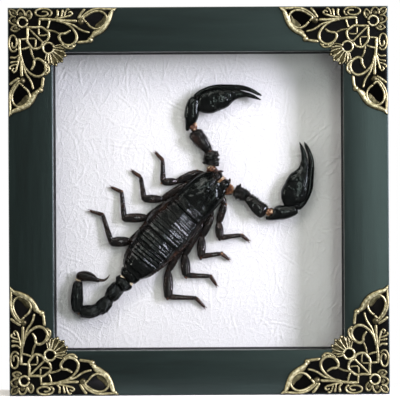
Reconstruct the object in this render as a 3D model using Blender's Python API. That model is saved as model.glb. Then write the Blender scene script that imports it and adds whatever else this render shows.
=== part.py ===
"""Dried scorpion in a glazed shadow-box frame with four filigree corners.

Metres, +Z up. The frame stands on its bottom edge and faces -Y. The origin is
under the middle of the frame. Driving dimensions are in millimetres below.
"""

import math

import bmesh
import bpy
import numpy as np
from mathutils import Vector
from mathutils.geometry import delaunay_2d_cdt

MM = 0.001
GAP = 0.3

# Frame: outer size, rail section and the stack of layers from front to back
FRAME_WIDTH = 170.0
FRAME_HEIGHT = 173.5
FACE_WIDTH = 20.0
REBATE_EDGE = 14.0
RAIL_FRONT = -13.0
LIP_BACK = -9.0
RAIL_BACK = 14.7
EDGE_ROUND = 0.8
GLASS_THICKNESS = 2.0
CARD_THICKNESS = 2.0
CARD_FRONT = 7.9
BOARD_THICKNESS = 2.5
SPACER_THICKNESS = 5.4

# Back fittings
TAB_LENGTH = 13.0
TAB_WIDTH = 6.0
TAB_THICKNESS = 0.4
TAB_BITE = 4.5
TAB_OFFSET = 40.0
HANGER_LENGTH = 45.0
HANGER_HEIGHT = 9.0
HANGER_THICKNESS = 0.9
HANGER_DROP = 12.0
HANGER_EAR = 7.0
HANGER_TEETH = 9
TOOTH_DEPTH = 2.6
RIVET_RADIUS = 2.0
RIVET_RISE = 0.5

# Filigree corner: a cast plate that lies on the rails' front
CORNER_BASE = RAIL_FRONT - GAP
CORNER_THICKNESS = 1.4
CROWN_INSET = 0.28
MELT_DISTANCE = 0.06

# Scorpion: depths measured like the layers above, and the lengths of its back
LEG_DEPTH = 6.05
CLAW_DEPTH = 4.2
BELLY_DEPTH = 7.5
UNDERSIDE_DEPTH = 4.2
EDGE_DEPTH = 2.8
SPINE_LENGTH = 58.8
SHIELD_LENGTH = 18.2
PALM_THICKNESS = 0.53
RIGHT_CLAW_LEAN = 5.0

COLOURS = {
    "black_wood": ((0.026, 0.034, 0.034), 0.55, 0.0),
    "clear_glass": ((0.9, 0.95, 0.95), 0.05, 0.0),
    "white_card": ((0.87, 0.86, 0.90), 0.7, 0.0),
    "brown_board": ((0.30, 0.18, 0.09), 0.8, 0.0),
    "steel": ((0.45, 0.45, 0.44), 0.35, 1.0),
    "antique_brass": ((0.36, 0.31, 0.15), 0.4, 1.0),
    "dry_shell": ((0.010, 0.013, 0.013), 0.25, 0.0),
}


def clear_scene():
    for thing in list(bpy.data.objects):
        bpy.data.objects.remove(thing, do_unlink=True)


def material(name):
    colour, roughness, metallic = COLOURS[name]
    made = bpy.data.materials.get(name)
    if made is None:
        made = bpy.data.materials.new(name)
        made.use_nodes = True
        shader = made.node_tree.nodes["Principled BSDF"]
        shader.inputs["Base Color"].default_value = (*colour, 1.0)
        shader.inputs["Roughness"].default_value = roughness
        shader.inputs["Metallic"].default_value = metallic
    return made


def add_object(name, points, faces, finish):
    """One named object from points in millimetres and faces."""
    mesh = bpy.data.meshes.new(name)
    scaled = [tuple(c * MM for c in point) for point in points]
    mesh.from_pydata(scaled, [], faces)
    mesh.materials.append(material(finish))
    mesh.validate()
    made = bpy.data.objects.new(name, mesh)
    bpy.context.scene.collection.objects.link(made)
    face_outwards(made)
    return made


def face_outwards(made):
    shape = bmesh.new()
    shape.from_mesh(made.data)
    bmesh.ops.recalc_face_normals(shape, faces=shape.faces)
    shape.to_mesh(made.data)
    shape.free()


def shade_round(made, angle=50.0):
    made.data.shade_smooth()
    made.data.set_sharp_from_angle(angle=math.radians(angle))


def box(name, low, high, finish):
    points = []
    for x in (low[0], high[0]):
        for y in (low[1], high[1]):
            for z in (low[2], high[2]):
                points.append((x, y, z))
    faces = [(0, 1, 3, 2), (4, 6, 7, 5), (0, 4, 5, 1), (2, 3, 7, 6), (0, 2, 6, 4), (1, 5, 7, 3)]
    return add_object(name, points, faces, finish)


def loft_faces(rings, sides, first=0):
    """Side quads and two end caps of a stack of rings with equal sides."""
    faces = []
    for r in range(rings - 1):
        for k in range(sides):
            a = first + r * sides + k
            b = first + r * sides + (k + 1) % sides
            faces.append((a, b, b + sides, a + sides))
    faces.append(tuple(first + k for k in reversed(range(sides))))
    faces.append(tuple(first + (rings - 1) * sides + k for k in range(sides)))
    return faces


def union(made, others):
    """Join closed shells into one solid."""
    for other in others:
        cut = made.modifiers.new("join", "BOOLEAN")
        cut.operation = "UNION"
        cut.solver = "EXACT"
        cut.object = other
        cut.use_self = True
    apply_modifiers(made)
    for other in others:
        bpy.data.objects.remove(other, do_unlink=True)


def subtract(made, cutters):
    for cutter in cutters:
        cut = made.modifiers.new("cut", "BOOLEAN")
        cut.operation = "DIFFERENCE"
        cut.solver = "EXACT"
        cut.object = cutter
    apply_modifiers(made)
    for cutter in cutters:
        bpy.data.objects.remove(cutter, do_unlink=True)


def apply_modifiers(made):
    bpy.context.view_layer.update()
    graph = bpy.context.evaluated_depsgraph_get()
    result = bpy.data.meshes.new_from_object(made.evaluated_get(graph))
    old = made.data
    made.modifiers.clear()
    made.data = result
    result.name = made.name
    bpy.data.meshes.remove(old)


# Rails


def rail_section():
    """Points (distance in from the outer edge, depth) round one rail."""
    points = [(0.0, RAIL_BACK)]
    for centre, start in (((EDGE_ROUND, RAIL_FRONT + EDGE_ROUND), 180.0),
                          ((FACE_WIDTH - EDGE_ROUND, RAIL_FRONT + EDGE_ROUND), 270.0)):
        for step in range(4):
            angle = math.radians(start + 30.0 * step)
            points.append((centre[0] + EDGE_ROUND * math.cos(angle),
                           centre[1] + EDGE_ROUND * math.sin(angle)))
    points += [(FACE_WIDTH, LIP_BACK), (REBATE_EDGE, LIP_BACK), (REBATE_EDGE, RAIL_BACK)]
    return points


def rail(name, along_x, sign):
    """A mitred rail: each point of the section ends sooner the further in it lies."""
    length = FRAME_WIDTH if along_x else FRAME_HEIGHT
    across = FRAME_HEIGHT if along_x else FRAME_WIDTH
    section = rail_section()
    points = []
    for end in (-1.0, 1.0):
        for inset, depth in section:
            run = end * (length / 2 - inset - GAP * math.sqrt(0.5))
            side = sign * (across / 2 - inset)
            x, z = (run, side) if along_x else (side, run)
            points.append((x, depth, z + FRAME_HEIGHT / 2))
    made = add_object(name, points, loft_faces(2, len(section)), "black_wood")
    shade_round(made, 40.0)
    return made


def tab_places():
    """Middle of each tab's outer end and the way it points, four sides, two a side."""
    half_w = FRAME_WIDTH / 2 - REBATE_EDGE
    half_h = FRAME_HEIGHT / 2 - REBATE_EDGE
    places = []
    for sign in (-1.0, 1.0):
        for offset in (-TAB_OFFSET, TAB_OFFSET):
            places.append(("left" if sign < 0 else "right", sign * half_w, offset, (-sign, 0.0)))
            places.append(("bottom" if sign < 0 else "top", offset, sign * half_h, (0.0, -sign)))
    return places


def tab_solid(name, x, z, inward, grow, finish):
    """A flat strip that bites into the rail and lies over the board."""
    depth = board_back() + GAP
    run_low = -TAB_BITE - grow
    run_high = TAB_LENGTH - TAB_BITE + grow
    half = TAB_WIDTH / 2 + grow
    if inward[0]:
        ends = sorted((x + inward[0] * run_low, x + inward[0] * run_high))
        low = (ends[0], depth - grow, z - half)
        high = (ends[1], depth + TAB_THICKNESS + grow, z + half)
    else:
        ends = sorted((z + inward[1] * run_low, z + inward[1] * run_high))
        low = (x - half, depth - grow, ends[0])
        high = (x + half, depth + TAB_THICKNESS + grow, ends[1])
    shift = FRAME_HEIGHT / 2
    return box(name, (low[0], low[1], low[2] + shift), (high[0], high[1], high[2] + shift), finish)


def make_frame():
    rails = {
        "top": rail("rail_top", True, 1.0),
        "bottom": rail("rail_bottom", True, -1.0),
        "left": rail("rail_left", False, -1.0),
        "right": rail("rail_right", False, 1.0),
    }
    slots = {side: [] for side in rails}
    counts = dict.fromkeys(rails, 0)
    for side, x, z, inward in tab_places():
        counts[side] += 1
        tab_solid(f"back_tab_{side}_{counts[side]}", x, z, inward, 0.0, "steel")
        slots[side].append(tab_solid("slot", x, z, inward, GAP, "steel"))
    for side, made in rails.items():
        subtract(made, slots[side])
        shade_round(made, 40.0)


def board_back():
    return CARD_FRONT + CARD_THICKNESS + GAP + BOARD_THICKNESS


def panel(name, front, thickness, finish):
    half_w = FRAME_WIDTH / 2 - REBATE_EDGE - GAP
    half_h = FRAME_HEIGHT / 2 - REBATE_EDGE - GAP
    middle = FRAME_HEIGHT / 2
    low = (-half_w, front, middle - half_h)
    high = (half_w, front + thickness, middle + half_h)
    return box(name, low, high, finish)


def make_layers():
    """Glass, card and board, with the spacer strips between the glass and the card."""
    glass_front = LIP_BACK + GAP
    panel("glass_pane", glass_front, GLASS_THICKNESS, "clear_glass")
    panel("embossed_card", CARD_FRONT, CARD_THICKNESS, "white_card")
    panel("back_board", CARD_FRONT + CARD_THICKNESS + GAP, BOARD_THICKNESS, "brown_board")
    front = glass_front + GLASS_THICKNESS + GAP
    back = CARD_FRONT - GAP
    outer_w = FRAME_WIDTH / 2 - REBATE_EDGE - GAP
    outer_h = FRAME_HEIGHT / 2 - REBATE_EDGE - GAP
    inner_w = outer_w - SPACER_THICKNESS
    inner_h = outer_h - SPACER_THICKNESS
    middle = FRAME_HEIGHT / 2
    for side, sign in (("left", -1.0), ("right", 1.0)):
        x = sorted((sign * inner_w, sign * outer_w))
        box(f"spacer_{side}", (x[0], front, middle - inner_h + GAP),
            (x[1], back, middle + inner_h - GAP), "black_wood")
    for side, sign in (("bottom", -1.0), ("top", 1.0)):
        z = sorted((middle + sign * inner_h, middle + sign * outer_h))
        box(f"spacer_{side}", (-outer_w, front, z[0]), (outer_w, back, z[1]), "black_wood")


def make_hanger():
    """A strip with saw teeth on its lower edge, riveted to the board near the top."""
    top = FRAME_HEIGHT - REBATE_EDGE - HANGER_DROP
    bottom = top - HANGER_HEIGHT
    half = HANGER_LENGTH / 2
    tooth = (HANGER_LENGTH - 2 * HANGER_EAR) / HANGER_TEETH
    outline = [(-half, bottom), (-half, top), (half, top), (half, bottom)]
    for k in range(HANGER_TEETH, 0, -1):
        x = -half + HANGER_EAR + k * tooth
        outline.append((x, bottom))
        outline.append((x - tooth / 2, bottom + TOOTH_DEPTH))
    outline.append((-half + HANGER_EAR, bottom))
    front = board_back() + GAP
    points = []
    for depth in (front, front + HANGER_THICKNESS):
        points += [(x, depth, z) for x, z in outline]
    strip = add_object("sawtooth_hanger", points, loft_faces(2, len(outline)), "steel")
    heads = []
    for sign in (-1.0, 1.0):
        centre = (sign * (half - HANGER_EAR / 2), (top + bottom) / 2)
        heads.append(rivet(centre, front + HANGER_THICKNESS / 3, front + HANGER_THICKNESS + RIVET_RISE))
    union(strip, heads)


def rivet(centre, front, back, sides=10):
    points = []
    for depth in (front, back):
        for k in range(sides):
            angle = 2 * math.pi * (k + 0.5) / sides
            points.append((centre[0] + RIVET_RADIUS * math.cos(angle), depth,
                           centre[1] + RIVET_RADIUS * math.sin(angle)))
    return add_object("rivet", points, loft_faces(2, sides), "steel")


# Filigree corner. Its places are (along, across): millimetres from the frame's
# outer corner along one leg and inwards from that leg's outer edge. A stroke is
# its width and its points, and the other leg is the mirror of the first.

LEG_STROKES = [
    (1.2, [(9.3, 5.8), (10.7, 3.1), (9.7, 1.5), (7.9, 4.4)]),
    (1.2, [(7.9, 4.2), (7.2, 1.9), (5.8, 0.8), (4.5, 4.2)]),
    (1.2, [(4.5, 4.2), (2.8, 1.3), (0.9, 0.9)]),
    (1.3, [(8.6, 8.6), (14.0, 8.8), (17.2, 10.2), (18.5, 12.0), (17.6, 14.9), (15.6, 16.0)]),
    (1.0, [(13.9, 9.0), (13.4, 13.1), (18.2, 12.3)]),
    (1.4, [(13.7, 5.3), (21.6, 5.8), (31.4, 6.2)]),
    (1.1, [(25.0, 6.4), (30.4, 9.1), (36.9, 11.6)]),
    (1.1, [(14.2, 5.2), (14.0, 8.8)]),
    (1.1, [(18.8, 5.6), (17.4, 10.2)]),
    (1.4, [(21.0, 5.2), (22.5, 3.5), (22.2, 1.1)]),
    (1.4, [(24.0, 4.8), (24.9, 1.2)]),
    (1.3, [(22.4, 5.4), (26.1, 3.6), (27.3, 1.5)]),
    (1.3, [(24.6, 4.6), (28.6, 3.1)]),
    (1.5, [(31.2, 6.2), (33.0, 2.7), (34.7, 1.0)]),
    (1.5, [(32.6, 5.2), (35.4, 2.9), (38.3, 1.3), (43.0, 1.2), (48.4, 0.9)]),
    (2.4, [(45.2, 1.8), (45.5, 5.6), (43.5, 9.3), (40.4, 11.6), (36.8, 13.0)]),
    (1.8, [(39.0, 10.4), (36.6, 9.6), (35.3, 7.4)]),
    (1.4, [(36.8, 12.4), (34.8, 14.8), (31.0, 16.0)]),
    (1.4, [(24.4, 6.4), (28.8, 9.2), (30.9, 13.0), (29.6, 16.6), (26.6, 17.6),
           (23.6, 15.4), (23.2, 12.6), (27.8, 10.8)]),
    (1.2, [(23.2, 12.2), (17.2, 10.2)]),
]
LEG_BEADS = [((32.6, 6.7), 1.8), ((36.6, 15.6), 1.3), ((28.6, 17.6), 1.2)]
FLOWER_CENTRE = (6.7, 6.7)
SHELL_CENTRE = (18.25, 18.25)

# Turn from the diagonal in degrees, reach from the shell's ring and width
SHELL_LOBES = ((22.0, 8.5, 2.3), (40.0, 7.2, 1.2), (56.0, 5.9, 1.1))


def oval_scroll(centre, radii, start, turns, shrink, steps):
    """Points of an oval that keeps its size for a while and then winds inwards."""
    points = []
    for k in range(steps + 1):
        share = k / steps
        angle = math.radians(start) + 2 * math.pi * turns * share
        size = 1.0 - shrink * max(0.0, share - 0.35) / 0.65
        points.append((centre[0] - radii[0] * size * math.cos(angle),
                       centre[1] - radii[1] * size * math.sin(angle)))
    return points


def stroke_quads(points, width):
    """A stroke as quads that share mitred joints, with narrower blunt ends."""
    line = [np.array(p, dtype=float) for p in points]
    crossings = []
    for k, place in enumerate(line):
        before = place - line[k - 1] if k else line[1] - place
        after = line[k + 1] - place if k + 1 < len(line) else before
        before = before / np.linalg.norm(before)
        after = after / np.linalg.norm(after)
        run = (before + after) / np.linalg.norm(before + after)
        reach = width / 2 / max(0.75, float(run @ after))
        side = np.array([-run[1], run[0]]) * reach
        if k == 0:
            crossings.append((place - run * width / 2 - side / 2, place - run * width / 2 + side / 2))
        crossings.append((place - side, place + side))
        if k + 1 == len(line):
            crossings.append((place + run * width / 2 - side / 2, place + run * width / 2 + side / 2))
    return [(a[0], b[0], b[1], a[1]) for a, b in zip(crossings, crossings[1:])]


def circle(centre, radius, sides):
    turn = 2 * math.pi / sides
    return [np.array((centre[0] + radius * math.cos(k * turn), centre[1] + radius * math.sin(k * turn)))
            for k in range(sides)]


def ring_quads(centre, radius, width, sides):
    inner = circle(centre, radius - width / 2, sides)
    outer = circle(centre, radius + width / 2, sides)
    return [(inner[k - 1], outer[k - 1], outer[k], inner[k]) for k in range(sides)]


def corner_tiles():
    """Every quad, ring and bead of one corner, both legs and the diagonal."""
    scroll = oval_scroll((16.0, 2.8), (3.6, 2.1), 55.0, 1.3, 0.6, 11)
    strokes = LEG_STROKES + [(1.15, scroll)]
    for turn, reach, width in SHELL_LOBES:
        angle = math.radians(45.0 - turn)
        way = np.array((math.cos(angle), math.sin(angle)))
        centre = np.array(SHELL_CENTRE)
        strokes.append((width, [centre + 2.0 * way, centre + (reach - width / 2) * way]))
    tiles = []
    for mirror in (False, True):
        order = -1 if mirror else 1
        for width, points in strokes:
            tiles += stroke_quads([tuple(p)[::order] for p in points], width)
        for centre, radius in LEG_BEADS:
            tiles.append(circle(centre[::order], radius, 7))
    tiles += ring_quads(FLOWER_CENTRE, 2.2, 1.2, 10)
    tiles += ring_quads(SHELL_CENTRE, 2.3, 1.2, 8)
    tiles += stroke_quads([(8.4, 8.4), (16.2, 16.2)], 1.1)
    tiles += stroke_quads([(19.8, 19.8), (23.3, 23.3)], 2.5)
    return tiles


def triangles_of(places, faces, closeness):
    """Split overlapping outlines into triangles that know which outlines hold them."""
    result = delaunay_2d_cdt([Vector(p) for p in places], [], faces, 1, closeness, True)
    return [np.array(v) for v in result[0]], result[2], result[5]


def merged_outline(tiles):
    """Walk round the joined shape: loops of places with the metal on their left."""
    places = []
    faces = []
    for tile in tiles:
        area = sum(float(np.cross(tile[k - 1], tile[k])) for k in range(len(tile)))
        ordered = list(tile) if area > 0 else list(reversed(tile))
        faces.append(list(range(len(places), len(places) + len(ordered))))
        places += ordered
    places, pieces, holders = triangles_of(places, faces, MELT_DISTANCE)
    kept = [piece for piece, held in zip(pieces, holders) if held]
    sides = {(t[k - 1], t[k]) for t in kept for k in range(3)}
    following = {}
    for a, b in sides:
        if (b, a) not in sides:
            following.setdefault(a, []).append(b)
    loops = []
    while following:
        start = min(following)
        loop = [start]
        here = following[start].pop()
        while here != start:
            loop.append(here)
            here = following[here].pop()
        following = {a: ends for a, ends in following.items() if ends}
        loops.append([places[k] for k in loop])
    return loops


def thinned(loop, tolerance=0.19, shortest=0.6):
    """Drop points that lie close to their neighbour or to the line past them."""
    loop = list(loop)
    k = 0
    while k < len(loop) and len(loop) > 4:
        before, here, after = loop[k - 1], loop[k], loop[(k + 1) % len(loop)]
        span = after - before
        off_line = abs(float(np.cross(span, here - before))) / max(float(np.linalg.norm(span)), 1e-6)
        close = min(np.linalg.norm(here - before), np.linalg.norm(after - here)) < shortest
        if off_line < tolerance or (close and off_line < 2.5 * tolerance):
            del loop[k]
            k = max(k - 1, 0)
        else:
            k += 1
    return loop


def loop_area(loop):
    return sum(float(np.cross(loop[k - 1], loop[k])) for k in range(len(loop))) / 2


def crown_place(loop, k):
    """Move a point inwards from the edge, square to both of its sides."""
    before = loop[k] - loop[k - 1]
    after = loop[(k + 1) % len(loop)] - loop[k]
    run = before / np.linalg.norm(before) + after / np.linalg.norm(after)
    run = run / max(float(np.linalg.norm(run)), 0.5)
    return loop[k] + CROWN_INSET * np.array((-run[1], run[0]))


def corner_solid():
    """One openwork plate: flat base, sloping sides and a narrower crown."""
    loops = [thinned(loop) for loop in merged_outline(corner_tiles())]
    loops = [loop for loop in loops if abs(loop_area(loop)) > 0.15]
    outer = max(range(len(loops)), key=lambda k: loop_area(loops[k]))
    places = [p for loop in loops for p in loop]
    faces = []
    first = 0
    for loop in loops:
        faces.append(list(range(first, first + len(loop))))
        first += len(loop)
    wound = [face if loop_area(loop) > 0 else face[::-1] for face, loop in zip(faces, loops)]
    found, pieces, holders = triangles_of(places, wound, 1e-5)
    plate = [tuple(piece) for piece, held in zip(pieces, holders) if held == [outer]]
    crown = [crown_place(loop, k) for loop in loops for k in range(len(loop))]
    count = len(places)
    if len(found) != count:
        raise ValueError("the outline of the corner touches itself")
    order = [min(range(count), key=lambda k: float(np.linalg.norm(places[k] - p))) for p in found]
    points = [(p[0], p[1], 0.0) for p in places] + [(p[0], p[1], CORNER_THICKNESS) for p in crown]
    solid = [tuple(order[k] for k in reversed(piece)) for piece in plate]
    solid += [tuple(order[k] + count for k in piece) for piece in plate]
    for face in faces:
        for k in range(len(face)):
            a, b = face[k - 1], face[k]
            solid.append((a, b, b + count, a + count))
    return points, solid


def make_corners():
    points, faces = corner_solid()
    for side, sx in (("left", -1.0), ("right", 1.0)):
        for end, sz in (("bottom", -1.0), ("top", 1.0)):
            placed = []
            for along, across, rise in points:
                x = sx * (FRAME_WIDTH / 2 - along)
                z = FRAME_HEIGHT / 2 + sz * (FRAME_HEIGHT / 2 - across)
                placed.append((x, CORNER_BASE - rise, z))
            made = add_object(f"corner_{end}_{side}", placed, faces, "antique_brass")
            shade_round(made, 30.0)


# Scorpion. Its places are (x, z) in millimetres from the middle of the window,
# read off the card, and depths run from the front to the back as on the frame.


def limb_rings(stations, sides):
    """Oval rings square to a path. A station is (x, z, depth, half width, half thickness)."""
    line = [np.array((s[0], s[1])) for s in stations]
    points = []
    for k, (x, z, depth, half_width, half_thick) in enumerate(stations):
        run = line[min(k + 1, len(line) - 1)] - line[max(k - 1, 0)]
        run = run / np.linalg.norm(run)
        side = np.array([run[1], -run[0]])
        for j in range(sides):
            angle = 2 * math.pi * (j + 0.5) / sides
            across = half_width * math.cos(angle)
            points.append((x + side[0] * across, depth - half_thick * math.sin(angle),
                           z + side[1] * across + FRAME_HEIGHT / 2))
    return points, loft_faces(len(stations), sides)


def limb(name, stations, sides):
    points, faces = limb_rings(stations, sides)
    made = add_object(name, points, faces, "dry_shell")
    shade_round(made, 60.0)
    return made


SPINE = [np.array((9.1, 9.5)), np.array((-12.1, -9.7)), np.array((-31.3, -33.3))]
PLATE_LENGTHS = (3.0, 4.5, 5.3, 6.2, 6.8, 6.8, 8.0)

# Distance along the spine, then the half width there or the depth of the back
HALF_WIDTHS = ((0, 5.6), (4, 7.6), (9, 8.6), (18.2, 9.0), (24, 10.4), (31, 11.5), (37, 10.6),
               (46.4, 9.9), (50.8, 8.8), (55, 7.3), (57.5, 5.4), (58.8, 3.7))
TOP_DEPTHS = ((0, 0.6), (5, -1.2), (18, -1.6), (31, -2.6), (46, -2.2), (55, -0.8), (58.8, 1.0))


def spine_at(distance):
    """Place and direction on the spine, a quadratic curve from head to tail root."""
    t = distance / SPINE_LENGTH
    a, b, c = SPINE
    place = (1 - t) ** 2 * a + 2 * t * (1 - t) * b + t ** 2 * c
    run = 2 * (1 - t) * (b - a) + 2 * t * (c - b)
    return place, run / np.linalg.norm(run)


def stepwise(table, distance):
    return float(np.interp(distance, [row[0] for row in table], [row[1] for row in table]))


def trunk_ring(distance, widen, raised):
    """Domed back, thin side edge, flat underside and a narrow keel that rests on the card."""
    place, run = spine_at(distance)
    side = np.array([run[1], -run[0]])
    half = stepwise(HALF_WIDTHS, distance) + widen
    top = stepwise(TOP_DEPTHS, distance) - raised
    ring = []
    for share in (-1.0, -0.84, -0.5, 0.0, 0.5, 0.84, 1.0):
        crown = (1.0 - abs(share) ** 2.4) ** 0.6
        ring.append((share, EDGE_DEPTH - (EDGE_DEPTH - top) * crown))
    for share, depth in ((0.9, EDGE_DEPTH + 0.7), (0.28, UNDERSIDE_DEPTH), (0.16, BELLY_DEPTH),
                         (-0.16, BELLY_DEPTH), (-0.28, UNDERSIDE_DEPTH), (-0.9, EDGE_DEPTH + 0.7)):
        ring.append((share, depth))
    points = []
    for share, depth in ring:
        x, z = place + side * share * half
        points.append((x, depth, z + FRAME_HEIGHT / 2))
    return points


def make_trunk():
    rings = []
    for distance, widen, raised in ((0.0, -0.6, -0.8), (1.2, 0.0, 0.0), (6.0, 0.0, 0.2),
                                    (12.0, 0.0, 0.3), (SHIELD_LENGTH - 0.4, 0.0, 0.2)):
        rings.append(trunk_ring(distance, widen, raised))
    start = SHIELD_LENGTH
    for length in PLATE_LENGTHS:
        rings.append(trunk_ring(start, -0.35, -0.4))
        rings.append(trunk_ring(start + length * 0.5, 0.0, 0.0))
        rings.append(trunk_ring(start + length - 0.5, 0.15, 0.15))
        start += length
    points = [p for ring in rings for p in ring]
    trunk = add_object("scorpion_body", points, loft_faces(len(rings), len(rings[0])), "dry_shell")
    jaws = []
    for (x0, z0), (x1, z1), (x2, z2) in (((4.6, 8.2), (8.6, 11.2), (11.0, 12.2)),
                                         ((8.2, 4.8), (11.6, 8.0), (13.2, 9.8))):
        stations = [(x0, z0, 2.4, 2.0, 1.6), (x1, z1, 2.3, 2.2, 1.9), (x2, z2, 2.6, 1.2, 1.1)]
        jaws.append(limb("jaw", stations, 6))
    union(trunk, jaws)
    shade_round(trunk, 35.0)


# Tail and arms as stations: x, z, depth, half width, half thickness
TAIL_STATIONS = [
    (-32.0, -33.9, 4.4, 3.2, 2.8), (-34.3, -36.1, 4.3, 3.7, 3.0), (-36.8, -38.5, 4.5, 2.9, 2.5),
    (-39.1, -41.0, 4.3, 3.6, 3.0), (-41.4, -43.6, 4.5, 2.8, 2.4), (-43.6, -46.6, 4.3, 3.4, 2.9),
    (-46.0, -49.1, 4.5, 2.6, 2.4), (-50.0, -50.2, 4.3, 2.9, 2.8), (-53.9, -49.9, 4.5, 2.8, 2.4),
    (-55.7, -47.0, 4.4, 2.7, 2.6), (-55.6, -42.0, 4.4, 2.7, 2.6), (-55.4, -38.2, 4.6, 2.3, 2.2),
    (-55.1, -36.2, 4.7, 1.5, 1.5), (-53.8, -34.6, 4.6, 2.2, 2.0), (-51.2, -34.3, 4.5, 2.4, 2.3),
    (-48.6, -35.2, 4.7, 1.7, 1.7), (-46.2, -36.0, 5.0, 1.0, 1.0), (-43.8, -36.1, 5.2, 0.7, 0.7),
    (-42.1, -35.3, 5.3, 0.5, 0.5), (-40.9, -33.5, 5.3, 0.2, 0.2),
]
ARM_LEFT = [
    (7.6, 10.6, 6.05, 1.3, 1.3), (5.9, 14.4, 5.7, 1.6, 1.4), (5.7, 16.0, 5.1, 1.6, 1.6),
    (5.8, 18.0, 4.6, 3.2, 2.3), (5.5, 20.6, 4.5, 2.9, 2.3), (4.9, 22.3, 4.6, 2.0, 1.9),
    (3.4, 24.4, 4.4, 2.9, 2.3), (0.6, 28.2, 4.2, 3.4, 2.6), (-1.9, 31.4, 4.3, 3.0, 2.3),
    (-2.7, 33.6, 4.6, 1.8, 1.7), (-3.4, 35.9, 4.4, 2.9, 2.3), (-3.1, 39.0, 4.2, 3.3, 2.6),
    (-2.5, 42.6, 4.3, 2.9, 2.4), (-0.9, 45.0, 4.4, 2.2, 2.0),
]
ARM_RIGHT = [
    (10.5, 6.9, 6.05, 1.3, 1.3), (13.9, 5.0, 5.7, 1.6, 1.4), (15.5, 4.5, 5.1, 1.6, 1.6),
    (17.7, 3.9, 4.6, 3.1, 2.3), (20.0, 2.9, 4.5, 2.9, 2.3), (21.9, 1.4, 4.6, 2.1, 1.9),
    (23.8, -0.3, 4.4, 2.9, 2.3), (26.9, -3.1, 4.2, 3.4, 2.6), (29.4, -4.9, 4.3, 3.0, 2.3),
    (31.6, -5.7, 4.6, 1.8, 1.7), (34.0, -6.0, 4.4, 2.9, 2.3), (37.5, -5.7, 4.2, 3.3, 2.6),
    (41.2, -5.0, 4.3, 2.9, 2.4), (43.6, -3.4, 4.4, 2.2, 2.0),
]

# Claw: distance from the wrist along it, distance inwards, half width
PALM = [(-1.2, 0.1, 2.6), (0.5, 0.2, 4.0), (4.6, 0.3, 6.0), (8.7, -0.8, 6.05),
        (13.2, -2.05, 5.0), (17.8, -3.5, 3.1)]
FIXED_FINGER = [(16.4, -2.3, 1.7), (21.0, -2.4, 1.45), (24.2, -1.9, 1.15),
                (26.9, -0.9, 0.8), (29.3, 0.4, 0.2)]
MOVING_FINGER = [(15.0, -5.2, 1.0), (18.5, -5.6, 1.3), (21.4, -5.2, 1.1),
                 (24.2, -4.4, 0.95), (26.9, -3.2, 0.85), (29.4, -2.0, 0.2)]


def claw_stations(outline, wrist, along, inwards, breadth):
    """Turn a claw outline in its own axes into places on the card."""
    stations = []
    for run, side, half in outline:
        place = np.array(wrist) + run * np.array(along) + side * breadth * np.array(inwards)
        thick = max(half * PALM_THICKNESS, min(half, 0.9))
        stations.append((place[0], place[1], CLAW_DEPTH, half * breadth, thick))
    return stations


def make_pincer(name, arm, wrist, along, inwards, breadth):
    arm_solid = limb(name, arm, 8)
    parts = []
    for outline, sides in ((PALM, 10), (FIXED_FINGER, 6), (MOVING_FINGER, 6)):
        parts.append(limb("claw", claw_stations(outline, wrist, along, inwards, breadth), sides))
    union(arm_solid, parts)
    shade_round(arm_solid, 45.0)


# Leg joints in order: hip, thigh, elbow, knee, ankle, toe; then the shin's greatest half width
LEGS = {
    "left_1": (((3.6, 11.2), (-0.6, 13.1), (-9.9, 8.9),
                (-16.3, 8.6), (-16.4, 18.7), (-20.0, 22.5)), 1.85),
    "left_2": (((0.0, 8.8), (-5.5, 7.4), (-16.8, 0.8),
                (-25.0, 1.1), (-26.5, 11.0), (-31.0, 14.2)), 1.95),
    "left_3": (((-3.6, 4.7), (-13.8, -1.0), (-23.6, -7.5),
                (-34.1, -7.8), (-35.3, 4.3), (-40.5, 6.6)), 2.15),
    "left_4": (((-7.6, -0.1), (-19.5, -8.6), (-31.5, -18.3),
                (-40.1, -18.7), (-44.0, -6.1), (-50.2, -4.3)), 2.35),
    "right_1": (((10.6, 2.2), (11.6, -1.8), (9.1, -10.0),
                 (9.6, -16.9), (19.5, -15.8), (23.1, -18.7)), 1.95),
    "right_2": (((5.0, -3.2), (5.9, -7.2), (1.3, -16.6),
                 (0.9, -25.4), (10.3, -24.2), (14.1, -27.3)), 2.05),
    "right_3": (((1.6, -7.6), (0.8, -11.2), (-6.6, -24.9),
                 (-5.9, -34.0), (5.2, -34.5), (8.2, -39.2)), 2.25),
    "right_4": (((-3.0, -10.8), (-6.8, -18.4), (-14.2, -32.2),
                 (-14.2, -43.8), (-1.5, -44.5), (2.9, -49.1)), 2.3),
}


def leg_stations(joints, shin):
    """Thin at each joint and spindle-shaped between, lifted at the knee, down at the toe."""
    hip, thigh, elbow, knee, ankle, toe = (np.array(j) for j in joints)
    plan = [
        (hip, LEG_DEPTH, 1.0, 1.1), (thigh, LEG_DEPTH, 1.25, 1.35),
        (elbow + 0.35 * (thigh - elbow), LEG_DEPTH, 1.4, 1.35), (elbow, LEG_DEPTH, 1.15, 1.2),
        (elbow + 0.22 * (knee - elbow), 5.75, shin * 0.85, 1.5),
        (elbow + 0.62 * (knee - elbow), 5.2, shin, 1.7),
        (knee, 4.9, shin * 0.8, 1.3),
        (knee + 0.26 * (ankle - knee), 5.4, 1.25, 1.15),
        (ankle, 6.4, 0.85, 0.8), (ankle + 0.2 * (toe - ankle), 6.6, 0.8, 0.7),
        (toe, 7.05, 0.3, 0.3),
    ]
    return [(p[0], p[1], depth, half_width, half_thick) for p, depth, half_width, half_thick in plan]


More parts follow.
